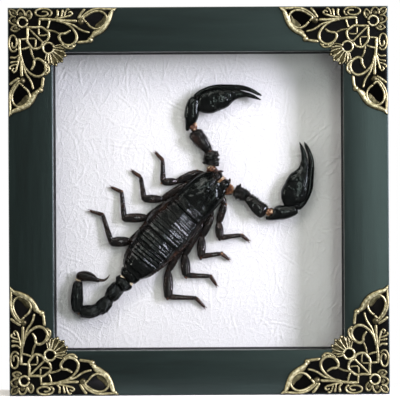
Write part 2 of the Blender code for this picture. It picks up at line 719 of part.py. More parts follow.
def make_scorpion():
    make_trunk()
    limb("scorpion_tail", TAIL_STATIONS, 8)
    lean = math.radians(RIGHT_CLAW_LEAN)
    make_pincer("scorpion_pincer_left", ARM_LEFT, (-0.5, 46.3), (1.0, 0.0), (0.0, -1.0), 1.0)
    make_pincer("scorpion_pincer_right", ARM_RIGHT, (44.1, -2.6), (math.sin(lean), math.cos(lean)),
                (-math.cos(lean), math.sin(lean)), 1.08)
    for name, (joints, shin) in LEGS.items():
        limb(f"scorpion_leg_{name}", leg_stations(joints, shin), 6)


clear_scene()
make_frame()
make_layers()
make_hanger()
make_corners()
make_scorpion()
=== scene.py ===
# %% [markdown]
# # A framed scorpion, worked out with arrays
# This lesson dresses a dried scorpion in a black shadow-box frame with four brass corners. Every shape
# is a surface: numpy works out all its points at once, and Blender receives them in one call.
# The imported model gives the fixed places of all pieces, so we open it first and measure from it.

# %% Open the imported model
import math

import bpy
import numpy as np
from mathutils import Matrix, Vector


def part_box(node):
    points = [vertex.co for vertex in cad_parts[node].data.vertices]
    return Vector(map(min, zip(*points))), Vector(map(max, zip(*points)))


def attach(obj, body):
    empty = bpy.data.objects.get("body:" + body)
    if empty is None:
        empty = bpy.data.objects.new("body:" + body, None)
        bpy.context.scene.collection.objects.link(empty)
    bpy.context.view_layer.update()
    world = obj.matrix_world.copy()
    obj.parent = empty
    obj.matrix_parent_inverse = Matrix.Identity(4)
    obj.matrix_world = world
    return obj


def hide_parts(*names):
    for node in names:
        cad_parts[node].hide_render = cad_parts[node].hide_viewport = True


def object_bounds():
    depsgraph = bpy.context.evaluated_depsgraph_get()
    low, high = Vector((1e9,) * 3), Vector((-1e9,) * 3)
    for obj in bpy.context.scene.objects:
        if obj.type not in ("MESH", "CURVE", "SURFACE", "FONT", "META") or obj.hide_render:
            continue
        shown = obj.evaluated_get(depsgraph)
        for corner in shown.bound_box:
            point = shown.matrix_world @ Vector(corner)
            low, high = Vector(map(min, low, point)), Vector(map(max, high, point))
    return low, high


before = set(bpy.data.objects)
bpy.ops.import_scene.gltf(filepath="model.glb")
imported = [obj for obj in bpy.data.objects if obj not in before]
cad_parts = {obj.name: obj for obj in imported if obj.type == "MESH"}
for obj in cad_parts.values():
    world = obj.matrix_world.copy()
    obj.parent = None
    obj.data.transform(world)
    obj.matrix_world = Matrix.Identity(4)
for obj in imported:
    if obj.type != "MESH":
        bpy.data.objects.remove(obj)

cad_box = [list(corner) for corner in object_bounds()]
print("whole object, metres:", cad_box)

# %% [markdown]
# We think in millimetres, because a scorpion's claw is easier to picture as 30 mm than as 0.03 m.
# X runs to the viewer's right, Y away from the viewer and Z up. The specimen's own places are
# (x, z) from the middle of the window, the way they are read off the card.

# %% Sizes that everything hangs on
MM = 0.001
low, high = (np.array(corner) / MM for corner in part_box("rail_left"))
FRAME_WIDTH = (cad_box[1][0] - cad_box[0][0]) / MM
FRAME_HEIGHT = (cad_box[1][2] - cad_box[0][2]) / MM
FACE_WIDTH = high[0] - low[0]
RAIL_FRONT, RAIL_BACK = low[1], high[1]
MIDDLE = FRAME_HEIGHT / 2
rng = np.random.default_rng(12)
print(f"frame {FRAME_WIDTH:.1f} x {FRAME_HEIGHT:.1f} mm, rails {FACE_WIDTH:.1f} mm wide")

# %% [markdown]
# Two small helpers carry every array into Blender. The first takes points and faces as arrays. The
# second checks which way a closed surface faces: the volume under its faces, summed with their sign,
# is positive when they point outwards, and a negative sum means that every face has to be turned.

# %% Arrays to meshes
def add_mesh(name, points, quads, caps=(), values=None):
    """A mesh object from points in mm, four-sided faces, caps of any length and named point values."""
    sizes = [4] * len(quads) + [len(cap) for cap in caps]
    corners = np.concatenate([np.ravel(quads), *[np.ravel(cap) for cap in caps]]).astype(np.int32)
    mesh = bpy.data.meshes.new(name)
    mesh.vertices.add(len(points))
    mesh.vertices.foreach_set("co", np.ravel(points * MM).astype(np.float32))
    mesh.loops.add(len(corners))
    mesh.loops.foreach_set("vertex_index", corners)
    mesh.polygons.add(len(sizes))
    mesh.polygons.foreach_set("loop_start", np.cumsum([0] + sizes[:-1]).astype(np.int32))
    mesh.update(calc_edges=True)
    for key, numbers in (values or {}).items():
        layer = mesh.attributes.new(key, "FLOAT", "POINT")
        layer.data.foreach_set("value", np.asarray(numbers, np.float32))
    made = bpy.data.objects.new(name, mesh)
    bpy.context.scene.collection.objects.link(made)
    return made


def turned_out(points, quads, caps):
    """Sum a . (b x c) over the triangles of all faces, and turn every face round if it is negative."""
    a, b, c, d = (points[quads[:, k]] for k in range(4))
    volume = np.sum(a * np.cross(b, c)) + np.sum(a * np.cross(c, d))
    for cap in caps:
        first, rest = points[cap[0]], points[cap[1:]]
        volume += np.sum(first * np.cross(rest[:-1], rest[1:]))
    if volume < 0:
        quads = quads[:, ::-1]
        caps = [cap[::-1] for cap in caps]
    return quads, caps


def tube(rings):
    """Close an (n, sides, 3) array of rings into a skin: quads between rings and a cap at each end."""
    count, sides = rings.shape[:2]
    index = np.arange(count * sides).reshape(count, sides)
    near, far = index[:-1], index[1:]
    quads = np.stack([near, np.roll(near, -1, 1), np.roll(far, -1, 1), far], axis=-1).reshape(-1, 4)
    points = rings.reshape(-1, 3)
    quads, caps = turned_out(points, quads, [index[0][::-1], index[-1]])
    return points, quads, caps


def dress(piece, nodes, finish, angle=None):
    """Give a finished piece its material, its smooth shading and its place in the model."""
    piece.data.materials.append(finish)
    if angle is not None:
        piece.data.shade_smooth()
        piece.data.set_sharp_from_angle(angle=math.radians(angle))
    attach(piece, "root")
    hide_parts(*nodes)
    print(piece.name, "faces:", len(piece.data.polygons))


# %% [markdown]
# Materials are small networks of nodes. One helper adds a node, sets plain values on it and links any
# value that is itself the output of another node, so a recipe reads from top to bottom. The others
# are short names for the nodes that every recipe needs.

# %% Recipes for materials
def start_material(name, **settings):
    """A new material with its Principled shader's plain values set, as (material, tree, shader)."""
    made = bpy.data.materials.new(name)
    made.use_nodes = True
    shader = made.node_tree.nodes["Principled BSDF"]
    for key, value in settings.items():
        shader.inputs[key.replace("_", " ")].default_value = value
    return made, made.node_tree, shader


def add_node(tree, kind, inputs=None, **settings):
    """Add one node, and return its first output."""
    made = tree.nodes.new("ShaderNode" + kind)
    for key, value in settings.items():
        setattr(made, key, value)
    for key, value in (inputs or {}).items():
        if isinstance(value, bpy.types.NodeSocket):
            tree.links.new(value, made.inputs[key])
        else:
            made.inputs[key].default_value = value
    return made.outputs[0]


def place_on(tree, scale=(1, 1, 1)):
    """Object coordinates, stretched so that a pattern runs along the piece."""
    where = tree.nodes.new("ShaderNodeTexCoord").outputs["Object"]
    return add_node(tree, "Mapping", {"Vector": where, "Scale": scale})


# %% Colour scales and patterns
def ramp(tree, factor, stops):
    """Colours between stops of (place, colour), where one number for a colour means that grey."""
    made = tree.nodes.new("ShaderNodeValToRGB")
    tree.links.new(factor, made.inputs[0])
    points = made.color_ramp.elements
    while len(points) < len(stops):
        points.new(0.5)
    for point, (place, colour) in zip(points, stops):
        point.position = place
        point.color = (*np.broadcast_to(colour, 3), 1.0)
    return made.outputs[0]


def ramp_to(tree, shader, name, factor, stops):
    """Let a scale of colours or greys set one value of the shader."""
    tree.links.new(ramp(tree, factor, stops), shader.inputs[name])


def noise(tree, where, scale, detail=4.0, roughness=0.5):
    """Soft noise from 0 to 1 with scale lumps to the metre; detail adds ever finer ones."""
    inputs = {"Vector": where, "Scale": scale, "Detail": detail, "Roughness": roughness}
    return add_node(tree, "TexNoise", inputs)


def times(tree, first, second):
    """The first value * the second."""
    return add_node(tree, "Math", {0: first, 1: second}, operation="MULTIPLY")


def plus(tree, first, second, share=1.0):
    """The first value + share * the second."""
    if share != 1.0:
        second = times(tree, second, share)
    return add_node(tree, "Math", {0: first, 1: second}, operation="ADD")


def bump(tree, shader, height, strength, distance):
    """Tilt the surface's shading by a height pattern; distance is the relief in metres."""
    inputs = {"Strength": strength, "Distance": distance, "Height": height}
    tree.links.new(add_node(tree, "Bump", inputs), shader.inputs["Normal"])


# %% [markdown]
# The camera stands about 0.8 m away, straight in front. A long lens keeps the frame's edges parallel,
# as in the photograph, and 0.3 degrees of roll repeat its slight tilt.

# %% Camera
CAMERA_DISTANCE = 820.0
SENSOR = 36.0
VIEW_WIDTH = 178.75
AIM = (0.58, MIDDLE + 0.36)
lens = bpy.data.cameras.new("long lens")
lens.sensor_width = SENSOR
lens.lens = SENSOR * CAMERA_DISTANCE / VIEW_WIDTH
lens.clip_start = 0.01
camera = bpy.data.objects.new("camera", lens)
camera.location = (AIM[0] * MM, (RAIL_FRONT - CAMERA_DISTANCE) * MM, AIM[1] * MM)
camera.rotation_euler = (math.radians(90), math.radians(0.3), 0)
bpy.context.scene.collection.objects.link(camera)
bpy.context.scene.camera = camera
bpy.context.scene.view_settings.view_transform = "Standard"
print(f"lens {lens.lens:.1f} mm")

# %% [markdown]
# Soft lights copy the studio. A tall window-like panel on the right throws the soft shadows to the
# left. A narrow one beside the camera puts the sheen on the right rail, two high in front and a weak
# one from the left soften the shadows, and a wide one overhead keeps the floor pale. The sky gives a
# dim light of its own, and it is white where the camera looks straight at it.

# %% Lights
def panel_light(name, place, size, power, colour):
    """An area light of (width, height) in metres at a place in mm that faces the window's middle."""
    light = bpy.data.lights.new(name, "AREA")
    light.shape = "RECTANGLE"
    light.size, light.size_y = size
    light.energy = power
    light.color = colour
    made = bpy.data.objects.new(name, light)
    made.location = [number * MM for number in place]
    towards = np.array((0.0, 0.0, MIDDLE)) - np.array(place)
    flat = math.hypot(towards[0], towards[1])
    made.rotation_euler = (math.atan2(flat, -towards[2]), 0, math.atan2(-towards[0], towards[1]))
    bpy.context.scene.collection.objects.link(made)


panel_light("window light", (850, -500, 300), (0.58, 0.50), 31.0, (0.84, 0.79, 0.94))
panel_light("fill light", (250, -900, 170), (0.16, 0.50), 1.55, (0.93, 1.0, 0.96))
panel_light("high front light", (150, -700, 900), (0.8, 0.6), 2.4, (1.0, 0.93, 0.85))
panel_light("high left light", (-300, -700, 800), (0.5, 0.4), 2.8, (1.0, 0.94, 0.90))
panel_light("left light", (-750, -450, 220), (0.30, 0.40), 2.6, (1.0, 0.94, 0.86))
panel_light("top light", (0, 0, 1700), (1.6, 1.6), 14.0, (1.0, 0.94, 0.80))

sky = bpy.data.worlds.new("studio")
sky.use_nodes = True
bpy.context.scene.world = sky
tree = sky.node_tree
dim = tree.nodes["Background"]
dim.inputs["Color"].default_value = (1.0, 0.97, 0.94, 1.0)
dim.inputs["Strength"].default_value = 0.25
bright = add_node(tree, "Background", {"Color": (1, 1, 1, 1)})
seen = tree.nodes.new("ShaderNodeLightPath").outputs["Is Camera Ray"]
both = add_node(tree, "MixShader", {0: seen, 1: dim.outputs[0], 2: bright})
tree.links.new(both, tree.nodes["World Output"].inputs["Surface"])
print("lights besides the sky:", len(bpy.data.lights))

# %% [markdown]
# The floor is a narrow pale shelf just under the frame. A wide one would throw its light up into the
# box and grey the black shell, so it ends a little in front of the frame and close behind it.

# %% Floor
FLOOR_REACH = 200.0
FLOOR_FRONT = RAIL_FRONT - 26.0
FLOOR_END = RAIL_BACK + 1.5
FLOOR_TOP = -0.2
corners = np.array([(-FLOOR_REACH, FLOOR_FRONT, FLOOR_TOP), (FLOOR_REACH, FLOOR_FRONT, FLOOR_TOP),
                    (FLOOR_REACH, FLOOR_END, FLOOR_TOP), (-FLOOR_REACH, FLOOR_END, FLOOR_TOP)])
floor = add_mesh("floor", corners, np.array([[0, 1, 2, 3]]))
paint, tree, shader = start_material("pale floor paint", Roughness=0.9)
ramp_to(tree, shader, "Base Color", noise(tree, place_on(tree), 9.0), [(0.3, 0.93), (0.7, 0.96)])
floor.data.materials.append(paint)
print(f"floor {FLOOR_END - FLOOR_FRONT:.1f} mm deep")

# %% [markdown]
# ## The wooden rails
# A picture-frame rail is a moulding: one outline, planed along the whole length of the wood and sawn
# at 45 degrees. So the surface is that outline carried along a straight line. Each point of the
# outline stops sooner the further in it lies, and that alone makes the mitre.
# The outline's corners are broken by small arcs, because light on a real rail gathers there.

# %% An outline with rounded corners
def rounded(corners, radii, steps=5):
    """Replace each corner of a closed outline by an arc that touches both sides.

    The arc starts and ends radius / tan(half the corner's angle) before and after the corner.
    """
    corners = np.asarray(corners, float)
    outline = []
    for number, radius in enumerate(radii):
        here = corners[number]
        to_last = corners[number - 1] - here
        to_next = corners[(number + 1) % len(corners)] - here
        to_last, to_next = (way / np.linalg.norm(way) for way in (to_last, to_next))
        half = 0.5 * math.acos(float(np.clip(to_last @ to_next, -1, 1)))
        middle = here + (to_last + to_next) / np.linalg.norm(to_last + to_next) * radius / math.sin(half)
        start = here + to_last * radius / math.tan(half) - middle
        end = here + to_next * radius / math.tan(half) - middle
        turn = np.linspace(0, 1, steps + 1)[:, None]
        swing = math.pi - 2 * half
        arc = (np.sin((1 - turn) * swing) * start + np.sin(turn * swing) * end) / math.sin(swing)
        outline.append(middle + arc)
    return np.concatenate(outline)


# %% The moulding, carried along each side
SIDES = {"top": (True, 1.0), "bottom": (True, -1.0), "left": (False, -1.0), "right": (False, 1.0)}
STRIP_STEPS = 24
JOINT = 0.03


def side_strip(section, side):
    """Carry a section of (distance in from the frame's edge, depth) along one side of the frame.

    The run goes from minus to plus (half the side's length, less the point's own distance in), and it
    stops a hair short of the mitre. SIDES says whether a side is level and on which side it lies.
    """
    level, sign = SIDES[side]
    length, across = (FRAME_WIDTH, FRAME_HEIGHT) if level else (FRAME_HEIGHT, FRAME_WIDTH)
    inset, depth = section[:, 0], section[:, 1]
    share = np.linspace(-1, 1, STRIP_STEPS)[:, None]
    run = share * (length / 2 - inset - JOINT)
    aside = np.broadcast_to(sign * (across / 2 - inset), run.shape)
    x, z = (run, aside) if level else (aside, run)
    return np.stack([x, np.broadcast_to(depth, run.shape), z + MIDDLE], axis=-1)


# %% [markdown]
# The rails are painted a satin black that leans to green-blue. Under the paint runs the grain: long
# thin streaks that make it a touch deeper here and rougher there. A noise stretched along the rail
# gives them, so level and upright rails each get their own material.

# %% Black paint over wood
def black_paint(name, along):
    """Satin black with streaks and fine pores that run along the grain."""
    made, tree, shader = start_material(name, Specular_IOR_Level=0.48, Specular_Tint=(0.74, 1.0, 0.97, 1))
    stretch = (0.08, 1, 1) if along == "x" else (1, 1, 0.08)
    grain = place_on(tree, stretch)
    streaks = noise(tree, grain, 420.0, 6.0, 0.6)
    patches = noise(tree, grain, 90.0, 3.0)
    pores = noise(tree, grain, 2600.0, 3.0)
    ramp_to(tree, shader, "Base Color", streaks,
            [(0.30, (0.0006, 0.0012, 0.0010)), (0.52, (0.0016, 0.0036, 0.0030)),
             (0.75, (0.0036, 0.0068, 0.0060))])
    ramp_to(tree, shader, "Roughness", patches, [(0.25, 0.28), (0.75, 0.34)])
    bump(tree, shader, plus(tree, streaks, pores, 0.6), 0.35, 0.00012)
    return made


PAINT = {True: black_paint("satin black paint, level grain", "x"),
         False: black_paint("satin black paint, upright grain", "z")}
LIP_BACK = RAIL_FRONT + 4.0
REBATE_EDGE = 14.0
rail_section = rounded(
    [(0, RAIL_BACK), (0, RAIL_FRONT), (FACE_WIDTH, RAIL_FRONT), (FACE_WIDTH, LIP_BACK),
     (REBATE_EDGE, LIP_BACK), (REBATE_EDGE, RAIL_BACK)],
    [0.6, 0.5, 0.45, 0.3, 0.2, 0.5])
for side, (level, sign) in SIDES.items():
    rail = add_mesh(f"moulded_rail_{side}", *tube(side_strip(rail_section, side)))
    dress(rail, [f"rail_{side}"], PAINT[level], 40)

# %% [markdown]
# ## Glass and spacers
# The pane keeps its modelled shape. Its material lets light straight through and adds a faint gloss
# that grows at grazing angles, so the glass shows from the side and vanishes from the front.

# %% Glass
def clear_glass():
    """Clear, with a faint smeared gloss whose share follows Fresnel's law for a low refractive index."""
    made = bpy.data.materials.new("clear glass")
    made.use_nodes = True
    tree = made.node_tree
    tree.nodes.remove(tree.nodes["Principled BSDF"])
    edge = add_node(tree, "Fresnel", {"IOR": 1.18})
    clear = add_node(tree, "BsdfTransparent", {"Color": (0.985, 0.995, 0.99, 1)})
    smears = ramp(tree, noise(tree, place_on(tree), 60.0, 5.0), [(0.4, 0.02), (0.8, 0.07)])
    gloss = add_node(tree, "BsdfGlossy", {"Roughness": smears})
    both = add_node(tree, "MixShader", {0: edge, 1: clear, 2: gloss})
    tree.links.new(both, tree.nodes["Material Output"].inputs["Surface"])
    return made


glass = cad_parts["glass_pane"]
glass.data.materials.clear()
glass.data.materials.append(clear_glass())
print("glass stays as modelled:", len(glass.data.polygons), "triangles")

# %% [markdown]
# The spacers are plain black strips that hold the glass off the card. They are the inner walls of the
# box. The same function carries their small section round the frame.

# %% Spacer strips
spacer_low, spacer_high = (np.array(corner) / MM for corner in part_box("spacer_left"))
wall_out = spacer_low[0] + FRAME_WIDTH / 2
wall_in = spacer_high[0] + FRAME_WIDTH / 2
spacer_section = rounded([(wall_out, spacer_high[1]), (wall_out, spacer_low[1]),
                          (wall_in, spacer_low[1]), (wall_in, spacer_high[1])], [0.25] * 4, 3)


def matt_strip():
    """Dull black with a fine tooth, so that it hardly mirrors the white card."""
    made, tree, shader = start_material("dull black strip", Roughness=0.8, Specular_IOR_Level=0.12)
    tooth = noise(tree, place_on(tree), 900.0, 4.0, 0.6)
    ramp_to(tree, shader, "Base Color", tooth, [(0.3, (0.007, 0.008, 0.009)), (0.7, (0.014, 0.015, 0.017))])
    bump(tree, shader, tooth, 0.4, 0.0001)
    return made


strip_finish = matt_strip()
for side in SIDES:
    strip = add_mesh(f"wall_strip_{side}", *tube(side_strip(spacer_section, side)))
    dress(strip, [f"spacer_{side}"], strip_finish, 40)

# %% [markdown]
# ## The embossed card
# The white paper is pressed with a leathery crinkle: long creases that wander, branch and cross.
# Each crease is a path that turns a little at every step. Near it the paper's height follows a bell
# curve of the distance to the path, with a shallow trough on both sides. The heights of all creases
# add up on one grid, so the creases are real relief and not paint.

# %% Creases as wandering paths
CARD_STEP = 0.47
CREASE_WIDTH = 0.40
LONG_CREASE_WIDTH = 0.44
card_low, card_high = (np.array(corner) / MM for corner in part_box("embossed_card"))


def wandering_path(start, heading, length, wander, step=0.4):
    """Points a step apart whose heading drifts by the running sum of small random turns."""
    turns = np.cumsum(rng.normal(0, wander, int(length / step)))
    headings = heading + turns * step
    return start + step * np.cumsum(np.stack([np.cos(headings), np.sin(headings)], 1), axis=0)


def press(height, grid_x, grid_z, path, depth, width=CREASE_WIDTH):
    """Add depth * (bell curve - half of a wider bell curve) of the distance to a path, fading at its ends."""
    reach = 6 * width
    nearest, farthest = path.min(0) - reach, path.max(0) + reach
    columns = slice(*np.searchsorted(grid_x, (nearest[0], farthest[0])))
    rows = slice(*np.searchsorted(grid_z, (nearest[1], farthest[1])))
    x, z = np.meshgrid(grid_x[columns], grid_z[rows])
    apart = np.hypot(x[..., None] - path[:, 0], z[..., None] - path[:, 1])
    if apart.size:
        away = apart.min(-1) / width
        fade = np.sin(np.pi * (apart.argmin(-1) + 0.5) / len(path)) ** 0.5
        height[rows, columns] += depth * fade * (np.exp(-away ** 2) - 0.5 * np.exp(-(away / 2.2) ** 2))


def anywhere_on_card():
    """A random place (x, z) between the card's corners."""
    return rng.uniform(card_low[::2], card_high[::2])


# %% The pressed sheet
LONG_CREASES = 330
SHORT_CREASES = 900
MAIN_SLANT = math.radians(62)
SLANT_SPREAD = 0.75
LONG_WANDER, FORK_WANDER, SHORT_WANDER = 0.17, 0.20, 0.30
LOWEST, HIGHEST = -0.24, 0.5
columns = int((card_high[0] - card_low[0]) / CARD_STEP)
rows = int((card_high[2] - card_low[2]) / CARD_STEP)
grid_x = np.linspace(card_low[0], card_high[0], columns)
grid_z = np.linspace(card_low[2], card_high[2], rows)
relief = np.zeros((rows, columns))
for number in range(LONG_CREASES):
    start = anywhere_on_card()
    heading = rng.normal(MAIN_SLANT, SLANT_SPREAD)
    main = wandering_path(start, heading, rng.uniform(4, 26), LONG_WANDER)
    press(relief, grid_x, grid_z, main, rng.uniform(0.12, 0.48), LONG_CREASE_WIDTH)
    if number % 2:
        fork = main[int(len(main) * rng.uniform(0.2, 0.8))]
        heading += rng.choice((-1, 1)) * rng.uniform(0.3, 0.9)
        branch = wandering_path(fork, heading, rng.uniform(3, 11), FORK_WANDER)
        press(relief, grid_x, grid_z, branch, rng.uniform(0.12, 0.42), LONG_CREASE_WIDTH)
for number in range(SHORT_CREASES):
    start = anywhere_on_card()
    short = wandering_path(start, rng.uniform(0, math.pi), rng.uniform(1.5, 5), SHORT_WANDER)
    press(relief, grid_x, grid_z, short, rng.uniform(0.05, 0.13))
relief = np.clip(relief, LOWEST, HIGHEST) - HIGHEST
x, z = np.meshgrid(grid_x, grid_z)
front = np.stack([x, card_low[1] - relief, z], axis=-1)
index = np.arange(rows * columns).reshape(rows, columns)
quads = np.stack([index[:-1, :-1], index[:-1, 1:], index[1:, 1:], index[1:, :-1]], -1).reshape(-1, 4)
rim = np.concatenate([index[0, :-1], index[:-1, -1], index[-1, :0:-1], index[:0:-1, 0]])
points = front.reshape(-1, 3)
back = points[rim] * (1, 0, 1) + (0, card_high[1], 0)
back_index = len(points) + np.arange(len(rim))
walls = np.stack([rim, back_index, np.roll(back_index, -1), np.roll(rim, -1)], -1)
quads, caps = turned_out(np.concatenate([points, back]), np.concatenate([quads, walls]), [back_index])
card = add_mesh("pressed_card", np.concatenate([points, back]), quads, caps)
print(f"relief {relief.min():.2f} to {relief.max():.2f} mm under the card's front")


# %% Paper
def crinkles(tree, scale):
    """Thin raised lines where the cells of a warped, slanting pattern meet."""
    where = add_node(tree, "Mapping", {"Vector": place_on(tree), "Rotation": (0, math.radians(33), 0),
                                       "Scale": (1, 1, 1.9)}, vector_type="TEXTURE")
    drift = tree.nodes.new("ShaderNodeTexNoise")
    drift.inputs["Scale"].default_value = 0.45 * scale
    tree.links.new(where, drift.inputs["Vector"])
    warped = add_node(tree, "VectorMath", {0: drift.outputs["Color"], 1: (1.6 / scale,) * 3, 2: where},
                      operation="MULTIPLY_ADD")
    cells = add_node(tree, "TexVoronoi", {"Vector": warped, "Scale": scale}, feature="DISTANCE_TO_EDGE")
    return ramp(tree, cells, [(0.0, 1.0), (0.10, 0.0)])


def white_paper():
    """Matt white with fibres and a pebbled tooth too fine for the grid."""
    made, tree, shader = start_material("white crinkled paper", Roughness=0.55, Specular_IOR_Level=0.35)
    where = place_on(tree)
    tooth = noise(tree, where, 1500.0, 5.0, 0.65)
    clouds = noise(tree, where, 45.0, 3.0)
    ramp_to(tree, shader, "Base Color", clouds, [(0.3, (0.865, 0.855, 0.870)), (0.7, (0.900, 0.892, 0.905))])
    height = times(tree, tooth, 0.35)
    for scale, share in ((150.0, 0.42), (330.0, 0.36), (760.0, 0.26)):
        height = plus(tree, height, crinkles(tree, scale), share)
    bump(tree, shader, height, 1.0, 0.00022)
    return made


dress(card, ["embossed_card"], white_paper(), 60)

# %% [markdown]
# ## Curves and skins for things that grew or were cast
# The brass scrolls and the scorpion's limbs are both thin bodies along a curved line. A maker knows a
# few stations of such a line: where it passes and how wide it is there. A cubic curve through the
# stations gives all places between them, so the tables stay short.

# %% Smooth curves through a few stations
def hermite(places, rows, at):
    """Cubic through the rows, where t runs from 0 to 1 between two rows. The rows are weighted
    2t^3 - 3t^2 + 1 and 3t^2 - 2t^3, and the slopes t^3 - 2t^2 + t and t^3 - t^2 times the step."""
    slopes = np.gradient(rows, places, axis=0)
    last = np.clip(np.searchsorted(places, at, side="right") - 1, 0, len(places) - 2)
    step = (places[last + 1] - places[last])[:, None]
    t = (at - places[last])[:, None] / step
    start = (2 * t ** 3 - 3 * t ** 2 + 1) * rows[last] + (t ** 3 - 2 * t ** 2 + t) * step * slopes[last]
    end = (3 * t ** 2 - 2 * t ** 3) * rows[last + 1] + (t ** 3 - t ** 2) * step * slopes[last + 1]
    return start + end


def smooth_rows(rows, at):
    """Read a table of stations at shares 0 to 1 of its length, measured over the first two columns."""
    rows = np.asarray(rows, float)
    places = np.concatenate([[0], np.cumsum(np.linalg.norm(np.diff(rows[:, :2], axis=0), axis=1))])
    return hermite(places, rows, np.asarray(at) * places[-1]), places[-1]


def closer_at_ends(count):
    """Shares 0 to 1, half evenly spaced and half by a cosine, so that rounded ends get more rings."""
    even = np.linspace(0, 1, count)
    return 0.5 * even + 0.25 - 0.25 * np.cos(np.pi * even)


def rounded_end(at, length, reach):
    """Quarter circle: sqrt(1 - (1 - d / reach)^2) of the distance d to the nearer end."""
    from_end = np.minimum(at, 1 - at) * length / reach
    return np.sqrt(1 - (1 - np.clip(from_end, 0.03, 1)) ** 2)


def unit(vectors):
    """Each vector divided by its length."""
    return vectors / np.linalg.norm(vectors, axis=-1, keepdims=True)


# %% [markdown]
# Nothing that grew is perfectly smooth. A cubic lattice of random numbers, blended softly between its
# corners, gives a height for any point in space, so neighbouring pieces stay uneven in their own way.

# %% Random lumps
def lumps(points, size, seed=0):
    """Random numbers -1 to 1 on a lattice of this pitch in mm, blended with weights 3t^2 - 2t^3."""
    lattice = np.random.default_rng(seed).uniform(-1, 1, (31, 31, 31))
    cell = np.floor(points / size).astype(int)
    t = points / size - cell
    t = t * t * (3 - 2 * t)
    total = 0
    for corner in np.ndindex(2, 2, 2):
        weight = np.prod(np.where(np.array(corner) == 1, t, 1 - t), axis=-1)
        total = total + weight * lattice[tuple(np.moveaxis((cell + corner) % 31, -1, 0))]
    return total


# %% [markdown]
# Hundreds of bristles, teeth and grains are one more array: a row of small rings for each of them, all
# worked out together.

# %% Spikes, and shells joined in one mesh
def spikes(roots, ways, lengths, radii, shape=(1.0, 0.7, 0.08), bend=0.0):
    """Thin four-sided spikes. Ring k of n stands at share k / (n - 1) of the length, shape[k] wide; the
    bend moves it down the picture by bend times the share squared times the length."""
    ways = unit(ways)
    across = unit(np.cross(ways, (0.31, 0.52, 0.79)))
    other = np.cross(ways, across)
    share = np.linspace(0, 1, len(shape))[None, :, None]
    length = np.broadcast_to(lengths, len(roots))[:, None, None]
    line = roots[:, None] + ways[:, None] * share * length
    line = line + np.array((0, 0, -1.0)) * bend * share ** 2 * length
    turn = np.pi / 2 * np.arange(4)[:, None]
    round_it = np.cos(turn) * across[:, None, None] + np.sin(turn) * other[:, None, None]
    wide = np.broadcast_to(radii, len(roots))[:, None, None, None] * np.array(shape)[None, :, None, None]
    points = line[:, :, None] + round_it * wide
    index = np.arange(points[..., 0].size).reshape(len(roots), len(shape), 4)
    near, far = index[:, :-1], index[:, 1:]
    sides = np.stack([near, np.roll(near, -1, 2), np.roll(far, -1, 2), far], axis=-1).reshape(-1, 4)
    ends = np.concatenate([index[:, 0, ::-1], index[:, -1]])
    points = points.reshape(-1, 3)
    return points, *turned_out(points, np.concatenate([sides, ends]), [])


def add_shells(name, shells, key):
    """One mesh from many closed shells of (points, quads, caps, value of each point)."""
    first = np.cumsum([0] + [len(shell[0]) for shell in shells[:-1]])
    quads = np.concatenate([shell[1] + start for shell, start in zip(shells, first)])
    caps = [cap + start for shell, start in zip(shells, first) for cap in shell[2]]
    values = np.concatenate([np.broadcast_to(np.ravel(shell[3]), len(shell[0])) for shell in shells])
    return add_mesh(name, np.concatenate([shell[0] for shell in shells]), quads, caps, {key: values})


# %% [markdown]
# ## The filigree corners
# Each corner is a thin brass casting of wires, loops and beads, the same on both legs. One could press
# a relief from a height map, but then every wire would have steps at its edge. Here each wire is a
# half-round bar along its own curve, and the bars run into each other as cast metal does.
# Places are (along, across): mm from the frame's outer corner along one leg, and in from its edge.

# %% Wires and beads
WIRE_STEP = 0.36
WIRE_RISE = 1.25
WIRE_FULLNESS = 1.18
CASTING_BASE = RAIL_FRONT + 0.05


def wire(path, half_width, rise=WIRE_RISE, ribs=0):
    """A half-round bar. At angle a its section is cos a of the half width and (sin a)^0.6 of the rise."""
    path = np.asarray(path, float)
    widths = WIRE_FULLNESS * np.atleast_1d(np.asarray(half_width, float))
    widths = np.interp(np.linspace(0, 1, len(path)), np.linspace(0, 1, len(widths)), widths)
    reach = np.linalg.norm(np.diff(path, axis=0), axis=1).sum()
    at = closer_at_ends(max(8, int(reach / WIRE_STEP)))
    rows, length = smooth_rows(np.column_stack([path, widths]), at)
    fall = rounded_end(at, length, rows[:, 2])[:, None]
    run = unit(np.gradient(rows[:, :2], axis=0))
    side = np.stack([-run[:, 1], run[:, 0]], 1)
    angle = np.linspace(0, np.pi, 9 + 4 * ribs)
    across = np.cos(angle) * rows[:, 2:] * fall
    crown = np.sin(angle) ** 0.6 * (0.5 + 0.5 * fall)
    crown = crown * (1 - 0.3 * np.sin(np.pi * ribs * np.cos(angle)) ** 2)
    plan = rows[:, None, :2] + across[..., None] * side[:, None]
    # The second value is rubbed wear and painted light at once: (sin a)^1.3 keeps the bar's low sides dark as
    # painted shade and lightens its crown as a painted highlight, less on lower wires.
    rub_and_light = np.sin(angle) ** 1.3 * fall * min(1.2, rise / WIRE_RISE)
    return np.concatenate([plan, crown[..., None] * rise], -1), rub_and_light


def bead(centre, radius, rise, sides=12, rows=5, wear_and_painted_light=1.0):
    """A dome of rings: the radius falls with cos a, and the height and the wear value grow with sin a; that
    value also paints a highlight on the top and shade at the foot.
    """
    angle = np.radians(np.linspace(0, 85, rows))[:, None]
    turn = np.linspace(0, 2 * np.pi, sides, endpoint=False)
    height = np.sin(angle) + 0 * turn
    rings = np.stack([centre[0] + radius * np.cos(angle) * np.cos(turn),
                      centre[1] + radius * np.cos(angle) * np.sin(turn), rise * np.sin(angle) + 0 * turn], -1)
    return rings, wear_and_painted_light * height


